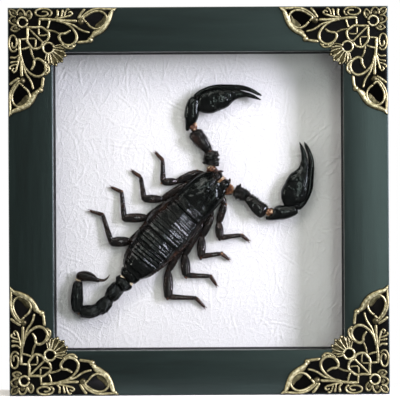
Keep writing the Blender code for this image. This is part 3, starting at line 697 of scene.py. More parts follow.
# %% Centres and rims of the casting
FLOWER = (6.7, 6.7)
SHELL = (18.25, 18.25)
SCROLL = (16.0, 2.6)
WIDE_RIM = [(46.2, 1.6), (45.3, 4.6), (44.2, 7.6), (42.1, 10.0), (39.6, 11.4), (37.6, 12.6)]
EYE_LOOP = [(35.3, 7.0), (33.9, 5.0), (35.5, 3.7), (38.2, 2.2), (40.8, 1.8), (43.1, 2.7), (44.4, 4.7),
            (43.8, 6.9), (41.7, 9.2), (39.5, 9.8), (37.3, 9.0), (35.3, 6.8)]
OUTER_EDGE = [(48.2, 0.9), (46.6, 2.0), (45.8, 3.8), (44.8, 6.4), (43.2, 9.1), (40.7, 11.2), (38.2, 12.7),
              (37.0, 14.2)]


def oval_scroll(centre, radii, start, turn, shrink_from, last_size):
    """A spiral: an oval at full size up to one angle, then shrinking evenly to its end."""
    angle = np.linspace(start, turn, 26)
    size = np.interp(angle, (start, shrink_from, turn), (1, 1, last_size))
    way = np.radians(angle)
    return np.stack([centre[0] + radii[0] * size * np.cos(way), centre[1] - radii[1] * size * np.sin(way)], 1)


def ring_path(centre, radius):
    """A full circle round a centre, as 25 points."""
    turn = np.linspace(0, 2 * np.pi, 25)
    return np.stack([centre[0] + radius * np.cos(turn), centre[1] + radius * np.sin(turn)], 1)


# %% The wires of one leg
def leg_of_casting():
    """Everything on one side of the corner's diagonal, as (rings, polish)."""
    petals = [wire([(9.3, 5.6), (10.5, 4.3), (10.7, 3.1), (9.7, 1.6), (8.6, 2.5), (7.9, 4.3)], 0.5, 0.95),
              wire([(8.8, 4.9), (9.7, 2.9)], 1.0, 0.65),
              wire([(7.9, 4.2), (7.7, 2.9), (7.2, 1.7), (5.8, 0.7), (4.4, 1.7), (4.1, 2.9), (4.4, 3.9)],
                   0.5, 0.95),
              wire([(6.0, 4.2), (5.8, 2.1)], 1.3, 0.65),
              wire([(4.4, 3.8), (4.1, 2.5), (2.8, 1.2), (0.9, 0.75)], 0.48, 0.95)]
    leaves = [wire([(8.9, 8.9), (13.3, 8.9), (14.4, 8.7), (17.2, 10.2), (18.4, 11.4), (18.5, 12.9),
                    (17.6, 14.9), (15.9, 15.9)], 0.6),
              wire([(13.9, 9.2), (14.0, 12.5)], 0.42, 1.05),
              wire([(14.0, 12.5), (16.0, 12.6), (18.1, 12.2)], 0.42, 1.05),
              wire([(14.3, 5.4), (14.1, 8.7)], 0.5),
              wire([(18.9, 5.6), (18.4, 7.9), (17.6, 9.9)], 0.5),
              wire([(13.7, 5.3), (17.1, 5.3), (21.6, 5.7), (26.1, 6.1), (31.2, 6.2)], 0.68),
              wire([(21.6, 6.0), (26.1, 7.1), (30.1, 8.4), (31.6, 9.5), (33.9, 10.7), (36.8, 11.4)], 0.52),
              wire(oval_scroll(SCROLL, (3.75, 2.0), -55, 500, 150, 0.22), 0.5, 1.15)]
    palmette = [wire([(21.6, 5.2), (25.0, 4.6), (28.3, 3.6)], 0.5),
                wire([(21.1, 5.2), (22.4, 3.7), (22.3, 0.9)], (0.38, 0.5, 0.68)),
                wire([(24.1, 4.8), (24.4, 2.6), (24.8, 0.95)], (0.35, 0.5, 0.68)),
                wire([(25.4, 4.3), (26.0, 2.1), (27.0, 0.9), (27.9, 1.4)], (0.35, 0.5, 0.5)),
                wire([(26.1, 4.2), (28.1, 3.8), (29.0, 2.8), (28.1, 2.1), (26.9, 2.9)], (0.4, 0.5, 0.4))]
    eye = [wire([(31.4, 5.4), (33.0, 2.7), (34.7, 0.65)], 0.65),
           wire([(32.4, 5.3), (35.0, 2.9), (37.7, 1.4), (40.6, 0.8), (44.0, 0.95), (47.1, 0.95), (48.8, 0.6)],
                (0.6, 0.6, 0.6, 0.3)),
           wire(WIDE_RIM, (0.6, 1.1, 1.3, 1.4, 1.0), 1.15),
           wire(EYE_LOOP, 0.55, 1.3),
           wire(OUTER_EDGE, (0.5, 0.95, 1.15, 1.15, 1.05, 0.85), 1.4),
           wire([(43.6, 3.9), (43.0, 6.4), (41.3, 8.2), (39.0, 8.7)], (0.5, 1.3, 1.6, 0.8), 0.7),
           wire([(37.0, 14.6), (35.6, 15.3), (33.4, 15.6), (31.0, 15.9)], 0.68),
           bead((32.7, 6.3), 1.7, 1.5, 18, 7, 0.45), bead((36.9, 14.6), 1.5, 1.5)]
    scroll = [wire([(24.3, 6.5), (27.4, 8.1), (29.6, 10.2), (30.8, 12.5), (30.7, 14.6), (29.4, 16.3),
                    (27.4, 17.1), (25.2, 16.6), (23.5, 14.8), (23.0, 13.2), (23.8, 12.0), (25.8, 11.7),
                    (27.3, 10.9), (28.2, 10.2)], (0.5, 0.66, 0.7, 0.66, 0.5)),
              wire([(30.5, 16.6), (28.8, 18.3), (26.5, 18.2), (24.3, 16.8)], (0.4, 0.55, 0.4)),
              wire([(23.4, 12.0), (21.1, 10.9), (17.4, 10.2)], 0.5, 0.9)]
    dots = [bead((26.9, 17.5), 0.8, 1.4), bead((29.3, 17.5), 0.9, 1.4), bead((24.6, 16.7), 0.7, 1.4)]
    return petals + leaves + palmette + eye + scroll + dots


# %% The shell and the flower on the diagonal
# A lobe of the shell: degrees from the diagonal, reach from the shell's middle and half width in mm.
LOBES = ((0, 8.9, 1.15), (20.5, 8.7, 1.25), (38.5, 7.6, 0.72), (55, 6.2, 0.6))
# The sheet under the wires is painted shade: it keeps the openings of the casting black.
SHADE_SHEET_RISE = 0.3
SHADE_SHEET_EDGE = [(0.6, 0.6), (48.3, 0.5), (46.6, 2.0), (45.8, 4.4), (44.6, 7.0), (42.9, 9.4), (40.4, 11.5),
            (37.8, 13.2), (36.8, 14.5), (33.4, 15.4), (30.9, 15.9), (29.4, 17.2), (27.0, 17.7), (24.6, 16.9),
            (24.8, 18.6), (25.6, 21.2), (23.9, 23.9)]


def shell_lobe(turn, reach, half_width):
    """A ribbed leaf that widens from the shell's ring outwards, with a rim on both sides and a bead."""
    way = np.array((math.cos(math.radians(45 - turn)), math.sin(math.radians(45 - turn))))
    side = np.array((-way[1], way[0]))
    near, far = SHELL + 2.3 * way, SHELL + (reach - 0.5 * half_width) * way
    lobe = [wire([near, (near + far) / 2, far], (0.45 * half_width, 0.85 * half_width, half_width), 0.95,
                 3 if half_width > 1 else 1)]
    for sign in (-1, 1):
        rim = [near + 0.4 * half_width * sign * side, (near + far) / 2 + 0.82 * half_width * sign * side,
               far + 0.85 * half_width * sign * side]
        lobe.append(wire(rim, 0.30, 1.3))
    lobe.append(bead(far + 0.1 * way, 0.62 * half_width, 1.5))
    return lobe


def painted_shade_sheet():
    """A thin black sheet between the wires, which paints the shade in the casting's openings. Its outline
    runs round at three heights, and the front one is drawn in a little. A value of -1 keeps it black."""
    edge = np.array(SHADE_SHEET_EDGE + [(across, along) for along, across in SHADE_SHEET_EDGE[-2:0:-1]])
    middle = edge.mean(axis=0)
    rings = [np.insert(middle + size * (edge - middle), 2, rise, axis=1)
             for size, rise in ((1.0, 0.0), (1.0, 0.8 * SHADE_SHEET_RISE), (0.995, SHADE_SHEET_RISE))]
    return np.array(rings), np.full((3, len(edge)), -1.0)


middle_parts = [wire(ring_path(FLOWER, 2.17), 0.54, 1.35), wire(ring_path(SHELL, 2.4), 0.52, 1.4),
                wire([(8.4, 8.4), (16.2, 16.2)], 0.5, 1.15), wire([(3.2, 3.2), (1.8, 1.8)], 0.7, 0.5), painted_shade_sheet()]
leg_parts = leg_of_casting()
for turn, reach, half_width in LOBES:
    target = middle_parts if turn == 0 else leg_parts
    target += shell_lobe(turn, reach, half_width)
casting = middle_parts + leg_parts + [(rings[..., [1, 0, 2]], wear_and_painted_light) for rings, wear_and_painted_light in leg_parts]
highest = max(rings[..., 2].max() for rings, wear_and_painted_light in casting)
print(f"one casting: {len(casting)} wires and beads, {highest:.2f} mm high")


# %% [markdown]
# Antique brass is dark where dirt and patina stay and bright where hands rub it. Each point of a wire knows
# how high it lies on the bar, and that number, broken up by noise, picks the colour. The same number also
# paints shade on the low sides of each wire and a highlight on its crown.

# %% Antique brass
def attribute_of(tree, name):
    """The numbers that each point of the mesh carries under this name."""
    made = tree.nodes.new("ShaderNodeAttribute")
    made.attribute_name = name
    return made.outputs["Fac"]


def antique_brass():
    """Dark patina and painted shade low on each wire, olive brass above it and pale rubbed gold with a
    painted highlight on the crown.
    """
    made, tree, shader = start_material("antique brass", Metallic=0.9, Specular_IOR_Level=0.5)
    where = place_on(tree)
    stains = noise(tree, where, 700.0, 5.0, 0.6)
    # The point value mixes rubbed wear with painted shade low on the wires and a painted highlight on their
    # crowns.
    rub_and_light = times(tree, attribute_of(tree, "wear_and_painted_light"), 0.41)
    rub_and_light = plus(tree, rub_and_light, stains, 0.54)
    rub_and_light = plus(tree, rub_and_light, noise(tree, where, 170.0, 2.0), 0.18)
    ramp_to(tree, shader, "Base Color", rub_and_light,
            [(0.05, (0.0006, 0.0006, 0.0005)), (0.32, (0.008, 0.0075, 0.004)), (0.55, (0.066, 0.059, 0.029)),
             (0.76, (0.27, 0.245, 0.135)), (0.94, (0.90, 0.86, 0.58))])
    ramp_to(tree, shader, "Roughness", stains, [(0.3, 0.30), (0.7, 0.46)])
    bump(tree, shader, noise(tree, where, 1600.0, 4.0, 0.6), 0.35, 0.00008)
    return made


BRASS = antique_brass()


def on_frame(rings, right, up):
    """From (along, across, rise) at a corner to x, y and z; right and up are plus or minus one."""
    along, across, rise = np.moveaxis(rings, -1, 0)
    return np.stack([right * (FRAME_WIDTH / 2 - along), CASTING_BASE - rise,
                     MIDDLE + up * (FRAME_HEIGHT / 2 - across)], -1)


for side, right in (("left", -1), ("right", 1)):
    for end, up in (("bottom", -1), ("top", 1)):
        shells = [(*tube(on_frame(rings, right, up)), wear_and_painted_light) for rings, wear_and_painted_light in casting]
        corner = add_shells(f"filigree_{end}_{side}", shells, "wear_and_painted_light")
        dress(corner, [f"corner_{end}_{side}"], BRASS, 50)

# %% [markdown]
# ## The scorpion
# A scorpion wears its skeleton outside: hard hollow segments, joined by soft pale skin. So each limb
# is built as it grew, one closed shell for each segment, and the shells slide a little into each other.
# Depths run from the front to the back, as on the frame. Places are (x, z) from the window's middle.

# %% One segment
def ring_angles(sides):
    """The angles of a ring's points, half a step off zero. The viewer looks at 90 degrees."""
    return 2 * np.pi * (np.arange(sides) + 0.5) / sides


def away_from_middle(rings, row, places):
    """The way from the middle of a ring to each place on it."""
    return unit(places - rings.mean(axis=1)[row])


def skin(rings, tone):
    """Close rings given as (x, depth, z from the middle) and lift them to the frame's height."""
    return *tube(rings + (0, 0, MIDDLE)), np.broadcast_to(tone, rings.shape[:2])


def segment(stations, rows=22, sides=22, boxy=2.3, keels=(), rough=0.05, pitch=0.9, reach=0.8):
    """Rings square to a centre line of stations (x, z, depth, half width, half thickness).

    A ring is the superellipse |a / width|^p + |b / thickness|^p = 1, where p is how boxy it is, and it
    shrinks as a quarter circle at both ends. A keel (angle, height, spread, bead pitch) adds a bell-shaped
    ridge along the segment. Random lumps of the given pitch roughen it.
    """
    at = closer_at_ends(rows)
    line, length = smooth_rows(stations, at)
    x, z, depth, width, thick = line.T[..., None]
    run = unit(np.gradient(line[:, :2], axis=0))
    fall = rounded_end(at, length, reach * line[:, 3])[:, None]
    angle = ring_angles(sides)
    cos, sin = np.cos(angle), np.sin(angle)
    across = width * np.sign(cos) * np.abs(cos) ** (2 / boxy)
    outward = thick * np.sign(sin) * np.abs(sin) ** (2 / boxy)
    swell = 0
    for middle, height, spread, pitch_of_beads in keels:
        apart = (np.degrees(angle) - middle + 180) % 360 - 180
        beads = 1.0
        if pitch_of_beads:
            beads = 0.62 + 0.38 * np.cos(2 * np.pi * at[:, None] * length / pitch_of_beads)
        swell = swell + height * beads * np.exp(-(apart / spread) ** 2)
    grow = fall * (1 + swell / np.hypot(across, outward))
    across, outward = across * grow, outward * grow
    rings = np.stack([x + run[:, 1:] * across, depth - outward, z - run[:, :1] * across], -1)
    away = unit(rings - np.stack([x, depth, z], -1) + 1e-9)
    return rings + away * (rough * (lumps(rings, pitch) + 0.5 * lumps(rings, pitch / 2.6)))[..., None]


def toned(rings, base, ends=0.0, reach=0.12, blotch=0.1, size=1.6):
    """A tone for each point: base, plus ends where the share of the length is near 0 or 1, plus blotches."""
    share = np.linspace(0, 1, len(rings))[:, None]
    near = np.exp(-(np.minimum(share, 1 - share) / reach) ** 2)
    return np.clip(base + ends * near + blotch * lumps(rings, size, 5), 0, 1)


# %% Hairs and grains on a segment
def hairs(rings, count, length, seed, ends=0.5, radius=0.055, tone=0.3, forward=0.35):
    """Bristles on random points of a segment. Each leaves square to it and leans to its far end; a share
    of them stands close to that end. A point behind the card's front is pulled forward to it."""
    random = np.random.default_rng(seed)
    row = random.uniform(0.08, 0.94, count)
    row = np.where(random.uniform(size=count) < ends, random.uniform(0.8, 0.97, count), row)
    row = (row * (len(rings) - 2)).astype(int) + 1
    column = random.integers(0, rings.shape[1], count)
    roots = rings[row, column]
    out = away_from_middle(rings, row, roots)
    run = unit(rings.mean(axis=1)[row] - rings.mean(axis=1)[row - 1])
    ways = out + forward * run + random.normal(0, 0.16, (count, 3))
    lengths = length * random.uniform(0.45, 1.15, count)
    points, quads, caps = spikes(roots - 0.1 * out, ways, lengths, radius, bend=0.08)
    points[:, 1] = np.minimum(points[:, 1], card_low[1] - 0.08)
    return points + (0, 0, MIDDLE), quads, caps, tone


def studs(rings, count, size, seed, columns=None, tone=0.06):
    """Grains: short blunt spikes on random points, or on points of the given columns of the rings."""
    random = np.random.default_rng(seed)
    row = random.integers(2, len(rings) - 2, count)
    column = random.choice(np.arange(rings.shape[1]) if columns is None else columns, count)
    roots = rings[row, column]
    out = away_from_middle(rings, row, roots)
    sizes = size * random.uniform(0.6, 1.3, count)
    points, quads, caps = spikes(roots - out * 0.1, out, 0.1 + 0.75 * sizes, sizes, (1.0, 0.85, 0.35))
    return points + (0, 0, MIDDLE), quads, caps, tone


# %% [markdown]
# The shell is nearly black with a cold green-blue gloss, brown where it thins and cream where only the
# skin of a joint shows. Each point carries a tone from 0 to 1 for that, and one colour scale reads it.

# %% Shell of a dried scorpion
def dried_shell():
    """Black, dark brown, red-brown, orange-brown and cream along the tone, with pits and fine grain."""
    made, tree, shader = start_material("dried shell", Specular_IOR_Level=0.30)
    where = place_on(tree)
    grain = noise(tree, where, 900.0, 5.0, 0.6)
    clouds = noise(tree, where, 260.0, 4.0, 0.55)
    tone = plus(tree, attribute_of(tree, "tone"), clouds, 0.08)
    ramp_to(tree, shader, "Base Color", tone,
            [(0.06, (0.0008, 0.0013, 0.0013)), (0.22, (0.0046, 0.0041, 0.0038)),
             (0.40, (0.027, 0.014, 0.010)), (0.60, (0.115, 0.042, 0.020)),
             (0.80, (0.36, 0.20, 0.10)), (1.0, (0.78, 0.66, 0.48))])
    ramp_to(tree, shader, "Specular Tint", tone,
            [(0.02, (0.30, 0.36, 0.35)), (0.08, (0.92, 1.0, 1.0)), (0.20, (1.0, 0.93, 0.97))])
    ramp_to(tree, shader, "Roughness", clouds, [(0.30, 0.12), (0.75, 0.25)])
    pits = noise(tree, where, 2300.0, 2.0)
    bump(tree, shader, plus(tree, grain, pits, 0.5), 0.10, 0.00008)
    return made


SHELL_FINISH = dried_shell()

# %% [markdown]
# ### Head shield and back
# The trunk follows a curved line, the spine. A point of the back is found from its distance along the
# spine and its share across, from -1 to 1: the half width comes from one short table, the depth of the
# back from another, and the dome between the edges is 1 - 0.5 share^1.5 - 0.5 share^10.

# %% A point of the back
SPINE = np.array([(9.1, 9.5), (-12.1, -9.7), (-31.3, -33.3)])
SPINE_LENGTH = 58.8
SHIELD_LENGTH = 18.2
PLATE_LENGTHS = (3.0, 4.5, 5.3, 6.2, 6.8, 6.8, 8.0)
EDGE_DEPTH = 2.8
HALF_WIDTHS = np.array([(0, 5.6), (4, 7.6), (9, 8.6), (18.2, 9.0), (24, 10.4), (31, 11.5), (37, 10.9),
                        (46.4, 9.9), (50.8, 8.8), (55, 7.3), (57.5, 5.4), (58.8, 3.7)])
TOP_DEPTHS = np.array([(0, 0.6), (5, -1.2), (18, -1.6), (31, -2.6), (46, -2.2), (55, -0.8), (58.8, 1.0)])


def read_table(table, at):
    """The cubic curve through a table of (distance, value), read at any array of distances."""
    return hermite(table[:, 0], table[:, 1:], np.ravel(at)).reshape(np.shape(at))


def on_back(distance, share, lift=0.0, widen=0.0):
    """Quadratic curve (1-t)^2 a + 2t(1-t) b + t^2 c for the spine, then out to the side and up the dome."""
    distance, share, lift = np.broadcast_arrays(distance, share, lift)
    t = (distance / SPINE_LENGTH)[..., None]
    a, b, c = SPINE
    place = (1 - t) ** 2 * a + 2 * t * (1 - t) * b + t ** 2 * c
    run = unit((1 - t) * (b - a) + t * (c - b))
    half = read_table(HALF_WIDTHS, distance) + widen
    top = read_table(TOP_DEPTHS, distance)
    aside = np.clip(np.abs(share), 0, 1)
    dome = 1 - 0.5 * aside ** 1.5 - 0.5 * aside ** 10
    depth = EDGE_DEPTH - (EDGE_DEPTH - top) * dome - lift
    return np.stack([place[..., 0] + run[..., 1] * share * half, depth,
                     place[..., 1] - run[..., 0] * share * half], -1)


def bell(away):
    """The bell curve: 1 at 0, about a third at 1 and close to nothing at 2."""
    return np.exp(-away ** 2)


def sheet_shell(distance, share, lift, thick, widen=0.0):
    """A thin closed plate: each ring runs across the top and back underneath it."""
    top = on_back(distance, share, lift, widen)
    under = on_back(distance, share, lift - thick, widen)
    return np.concatenate([top, under[:, ::-1]], axis=1)


# %% The seven back plates
# ACROSS holds shares from the lower right edge, -1, to the upper left one, 1. A plate goes all the way to
# the upper left, and to the lower right as far as its number in PLATE_REACHES says.
ACROSS = np.sin(np.pi / 2 * np.linspace(-1, 1, 84))[None]
PLATE_REACHES = (0.93, 0.92, 0.90, 0.88, 0.88, 0.92, 1.0)
PLATE_WIDEN = -0.45
WRINKLE_PITCH = 1.75
WRINKLE_HEIGHTS = (0.34, 0.38, 0.40, 0.44, 0.46, 0.40, 0.12)
LIP = 0.90


def soft_step(t):
    """0 up to t = 0, 3t^2 - 2t^3 up to t = 1, then 1."""
    t = np.clip(t, 0, 1)
    return t * t * (3 - 2 * t)


def back_plate(number, start, length):
    """One plate: sunk under the one before, wrinkled across, with a lip that rolls down at its rear edge.

    A wrinkle climbs over 0.58 of its pitch, a little steeper at first, and drops over a third of it. How
    high it gets varies slowly along its crest, so some run right across and others die out.
    """
    along = np.linspace(-0.16, 1, int(14 + 6 * length))[:, None]
    distance = start + along * length - 0.5 * np.abs(ACROSS) ** 4 * np.clip(along, 0, 1)
    share = ACROSS + (1 - PLATE_REACHES[number]) * (1 - ACROSS) / 2
    flat = on_back(distance, share)
    sink = (0.30 + 0.09 * length) * np.clip((0.16 - along) / 0.32, 0, 1) ** 1.5
    lip = 0.05 * length * bell(np.clip(LIP - along, 0, 1) / 0.11)
    lip = lip - 0.02 * length * bell((along - 0.78) / 0.07)
    lip = lip - 0.55 * (np.clip(along - LIP, 0, 1) / (1 - LIP)) ** 2
    phase = distance / WRINKLE_PITCH + 0.22 * lumps(flat, 9.0, 3) + 0.02 * lumps(flat, 3.0, 4)
    turn = phase % 1
    along_crest = np.stack([7.3 * np.floor(phase), 6 * ACROSS + 0 * along, 0 * distance], -1)
    strength = np.clip(1.0 + 0.6 * lumps(along_crest, 4.0, 6), 0.65, 1.2)
    climb = np.clip((turn - 0.1) / 0.58, 0, 1)
    crests = (climb * (1.27 - 0.27 * climb) - soft_step((turn - 0.68) / 0.32)) * strength
    fade = np.clip(along * 6, 0, 1) * np.clip((0.86 - along) * 9, 0, 1)
    wrinkles = fade * WRINKLE_HEIGHTS[number] * crests
    dents = 0.20 * bell((np.abs(ACROSS) - 0.46) / 0.10) * bell((along - 0.45) / 0.22)
    ridge = 0.16 * bell(ACROSS / 0.07) * np.clip(along * 3, 0, 1)
    margin = 0.22 * bell((np.abs(ACROSS) - 0.90) / 0.05)
    grains = 0.006 * lumps(flat, 0.55, 8) + 0.018 * lumps(flat, 2.6, 9)
    lift = 0.10 - sink + lip + wrinkles - dents + ridge + margin + grains
    thick = 0.15 + 0.45 * (1 - np.abs(ACROSS) ** 6) * np.clip((1.01 - along) * 8, 0.15, 1)
    rings = sheet_shell(distance, share, lift, thick, PLATE_WIDEN + 0.7 * (along - 0.6))
    brown = 0.20 * bell((ACROSS - 0.85) / 0.20) * (0.6 + lumps(flat, 4.0, 10))
    tone = toned(rings, 0.04, blotch=0.05) + np.concatenate([brown, brown[:, ::-1]], axis=1)
    return skin(rings, np.clip(tone + 0.22 * bell((along - 1) / 0.03), 0, 1))


plates = []
start = SHIELD_LENGTH
for number, length in enumerate(PLATE_LENGTHS):
    plates.append(back_plate(number, start, length))
    start += length
print("back plates:", len(plates), "over", start - SHIELD_LENGTH, "mm")


# %% [markdown]
# The head shield is one plate with a notch in its front edge, a groove down the middle with the two
# main eyes on a hump, slanting furrows behind them and grains all over. Bells add and dig these forms.

# %% Head shield
HUMP_AT = 7.2
MEAN_HALF_WIDTH = 8.4


def head_shield():
    """One sheet, lifted and dug by bells of the distance along the spine and of the mm to the side, where
    aside counts plus to the lower right."""
    along = np.linspace(0, 1, 66)[:, None]
    away = np.abs(ACROSS)
    front = 1.9 * bell(ACROSS / 0.16) - 0.9 + 0.9 * away ** 4 + 0.8 * away ** 12
    distance = front + along * (SHIELD_LENGTH + 0.5 - front - 0.5 * away ** 4)
    flat = on_back(distance, ACROSS)
    side = away * MEAN_HALF_WIDTH
    aside = -ACROSS * MEAN_HALF_WIDTH
    hump = 0.55 * bell((distance - HUMP_AT) / 1.5) * bell(side / 1.15)
    groove = 0.60 * bell(side / 0.50) * (1 - bell((distance - HUMP_AT) / 1.4))
    branches = 1.05 * bell((aside - 0.38 * (distance - 1.5)) / 0.95)
    branches = branches + 0.6 * bell((aside + 0.33 * (distance - 3.5)) / 0.9)
    branches = branches * soft_step((distance - 4.0) / 4.0) * soft_step((15.5 - distance) / 3.0)
    branches = branches * (0.8 + 0.5 * lumps(flat, 3.2, 15))
    lobes = 1.0 * bell(np.hypot((distance - 8.2) / 4.0, (aside - 5.4) / 2.2))
    lobes = lobes + 0.75 * bell(np.hypot((distance - 11.0) / 3.2, (aside + 2.6) / 1.8))
    lobes = lobes + 0.40 * bell(np.hypot((distance - 4.0) / 2.2, (side - 3.0) / 1.6))
    keel = 0.34 * bell((aside - 6.6) / 0.5) * bell((distance - HUMP_AT) / 2.0)
    keel = keel * (0.6 + 1.2 * lumps(flat, 0.8, 14))
    rim = 0.24 * bell((away - 0.90) / 0.05) + 0.26 * bell((along - 0.965) / 0.022)
    rim = rim - 0.20 * bell((along - 0.92) / 0.022)
    neck = bell(np.hypot((distance - 15.0) / 2.0, (aside - 4.4) / 2.4))
    folds = 0.13 * neck * np.sin(2 * np.pi * (0.9 * distance + 0.4 * aside) / 1.1 + 5 * lumps(flat, 1.6, 2))
    folds = folds - 0.5 * bell(np.hypot((distance - 13.2) / 1.1, (aside - 3.6) / 1.6))
    rough = 0.03 + 0.12 * bell(np.hypot((distance - 8.0) / 5.0, (aside - 1.2) / 2.0)) + 0.10 * neck
    grains = rough * lumps(flat, 0.95, 11) + 0.05 * lumps(flat, 1.9, 12) + 0.18 * lumps(flat, 3.6, 13)
    lift = 0.12 + hump - groove - branches + lobes + keel + rim + folds + grains
    lift = lift - 0.5 * bell(along / 0.03)
    thick = 0.15 + 0.6 * (1 - away ** 6) * np.clip(along * 9, 0.15, 1) * np.clip((1.01 - along) * 12, 0.2, 1)
    rings = sheet_shell(distance, ACROSS, lift, thick)
    brown = 0.2 * bell((away - 1) / 0.03) + 0.05 * neck
    tone = toned(rings, 0.02, blotch=0.05) + np.concatenate([brown, brown[:, ::-1]], axis=1)
    return skin(rings, np.clip(tone, 0, 1))


def eyes():
    """Two main eyes on the hump and three small ones in each front corner, as glossy domes."""
    places = [(6.9, 0.095, 0.42, 0.45), (6.9, -0.095, 0.42, 0.45)]
    for number in range(3):
        distance, share = 1.9 + 0.75 * number, 0.80 + 0.03 * number
        places += [(distance, -share, 0.26, 0.1), (distance, share, 0.26, 0.1)]
    found = []
    for distance, share, radius, lift in places:
        rings = bead((0, 0), radius, radius * 0.9, 12, 6)[0]
        centre = on_back(distance, share, lift)
        placed = np.stack([rings[..., 0], -rings[..., 2], rings[..., 1]], -1) + centre
        found.append(skin(placed, 0.0))
    return found


shield = head_shield()
print("head shield and", len(eyes()), "eyes")


# %% [markdown]
# Under the plates lies the soft trunk. Its sides are the folded brown skin that shows past the plates'
# edges, and its underside is a plain full belly, which rests close to the card.

# %% Soft trunk
BELLY_DEPTH = 7.45


def soft_trunk():
    """Rings of the upper half just under the plates and a fuller lower half, with fine folds at the side."""
    distance = np.linspace(1.2, SPINE_LENGTH - 0.2, 120)[:, None]
    angle = np.linspace(0, 2 * np.pi, 72, endpoint=False)[None]
    share = np.cos(angle)
    share = np.sign(share) * np.abs(share) ** 0.8
    above = np.sin(angle) > 0
    flat = on_back(distance, share * 0.985)
    belly = EDGE_DEPTH + (BELLY_DEPTH - EDGE_DEPTH) * np.abs(np.sin(angle)) ** 0.7
    narrow = np.minimum(1, np.minimum(distance - 0.4, SPINE_LENGTH + 0.8 - distance) / 6 + 0.45)
    belly = EDGE_DEPTH + (belly - EDGE_DEPTH) * narrow
    depth = np.where(above, flat[..., 1] + 0.75, belly + 0 * distance)
    rings = np.stack([flat[..., 0], depth, flat[..., 2]], -1)
    centre = rings.mean(axis=1, keepdims=True)
    folds = 0.22 * np.sin(2 * np.pi * distance / 1.5 + 2.5 * lumps(flat, 2.4, 21)) * np.abs(share) ** 3
    rings = rings + unit(rings - centre) * (folds + 0.10 * lumps(flat, 0.8, 22))[..., None]
    brown = 0.24 + 0.16 * lumps(rings, 1.6, 23) * np.abs(share) ** 3 + 0.08 * bell((distance - 40) / 9)
    return skin(rings, np.clip(np.where(above, brown, brown - 0.08), 0, 1))


# %% Jaws
HEAD_WAY = unit(SPINE[0] - SPINE[1])
HEAD_SIDE = np.array((-HEAD_WAY[1], HEAD_WAY[0]))
JAW_GAP = -0.8


def ahead(forward, aside):
    """A place in front of the shield: mm forward of its front edge and mm to the upper left."""
    return SPINE[0] + forward * HEAD_WAY + aside * HEAD_SIDE


def jaw(side):
    """One of the two short jaws: a fat lobe, a small finger outside its tip and a pale inner edge."""
    middle = JAW_GAP + side * 2.25
    lobe = [(*ahead(-3.2, middle), 2.2, 1.9, 1.6),
            (*ahead(-1.0, middle), 1.9, 2.2, 1.9),
            (*ahead(1.4, middle + 0.1 * side), 2.0, 2.25, 1.9),
            (*ahead(3.2, middle - 0.2 * side), 2.5, 1.5, 1.2)]
    outer = [(*ahead(1.6, middle + 0.9 * side), 2.0, 0.9, 0.8),
             (*ahead(3.2, middle + 0.7 * side), 2.4, 0.7, 0.6),
             (*ahead(4.3, middle - 0.1 * side), 2.9, 0.25, 0.25)]
    inner = [(*ahead(-1.6, JAW_GAP + 0.26 * side), 1.4, 0.24, 0.9),
             (*ahead(0.6, JAW_GAP + 0.28 * side), 1.0, 0.34, 0.9),
             (*ahead(2.4, JAW_GAP + 0.36 * side), 1.5, 0.30, 0.7),
             (*ahead(3.1, JAW_GAP + 0.5 * side), 2.2, 0.16, 0.3)]
    fat = segment(lobe, 26, 28, keels=((60, 0.22, 16, 0.8), (115, 0.22, 16, 0.8)), rough=0.14, pitch=1.3)
    pale = segment(inner, 20, 14, rough=0.12, pitch=0.6)
    return [skin(fat, toned(fat, 0.12, blotch=0.20)),
            skin(segment(outer, 14, 12), 0.26),
            skin(pale, toned(pale, 0.82, blotch=0.25, size=0.8)),
            hairs(fat, 46, 1.0, 30 + side, 0.7, tone=0.55)]


body_shells = [soft_trunk(), shield, *eyes(), *plates, *jaw(1), *jaw(-1)]
body = add_shells("dried_body", body_shells, "tone")
dress(body, ["scorpion_body"], SHELL_FINISH, 60)


# %% [markdown]
# ### Tail
# Five waisted segments with ridges along them, then the bulb and the sting. The tables hold a few
# stations of each piece, read along its middle line: x, z, depth, half width and half thickness.

# %% Tail
TAIL = [
    [(-32.8, -35.3, 4.5, 3.3, 2.6), (-33.8, -36.5, 4.2, 4.1, 3.1), (-35.1, -37.8, 4.2, 3.9, 3.0),
     (-36.8, -39.2, 4.6, 2.8, 2.4)],
    [(-36.2, -38.3, 4.6, 2.8, 2.3), (-38.0, -40.3, 4.2, 3.5, 3.0), (-39.6, -42.5, 4.2, 3.35, 3.0),
     (-41.1, -44.9, 4.6, 2.5, 2.1)],
    [(-40.7, -44.2, 4.6, 2.2, 2.1), (-42.3, -46.1, 4.2, 3.0, 2.8), (-43.9, -47.6, 4.1, 3.35, 3.0),
     (-45.3, -49.0, 4.3, 3.1, 2.8), (-46.7, -50.1, 4.6, 2.2, 2.1)],
    [(-45.4, -48.7, 4.5, 2.3, 2.2), (-48.2, -50.0, 4.3, 2.9, 2.8), (-51.6, -50.3, 4.3, 2.95, 2.8),
     (-54.9, -50.3, 4.5, 2.6, 2.3)],
    [(-55.3, -51.0, 4.6, 2.0, 2.1), (-55.7, -48.0, 4.4, 2.55, 2.6), (-55.7, -43.5, 4.4, 2.75, 2.6),
     (-55.5, -39.0, 4.5, 2.3, 2.4), (-55.2, -36.2, 4.7, 1.75, 1.8)],
]
BULB = [(-56.0, -35.2, 4.8, 1.0, 1.0), (-54.8, -34.5, 4.6, 2.0, 1.9), (-52.1, -34.15, 4.5, 2.45, 2.3),
        (-49.35, -34.7, 4.6, 2.0, 2.0), (-46.6, -35.9, 4.9, 1.0, 1.1), (-45.2, -36.2, 5.0, 0.78, 0.8)]
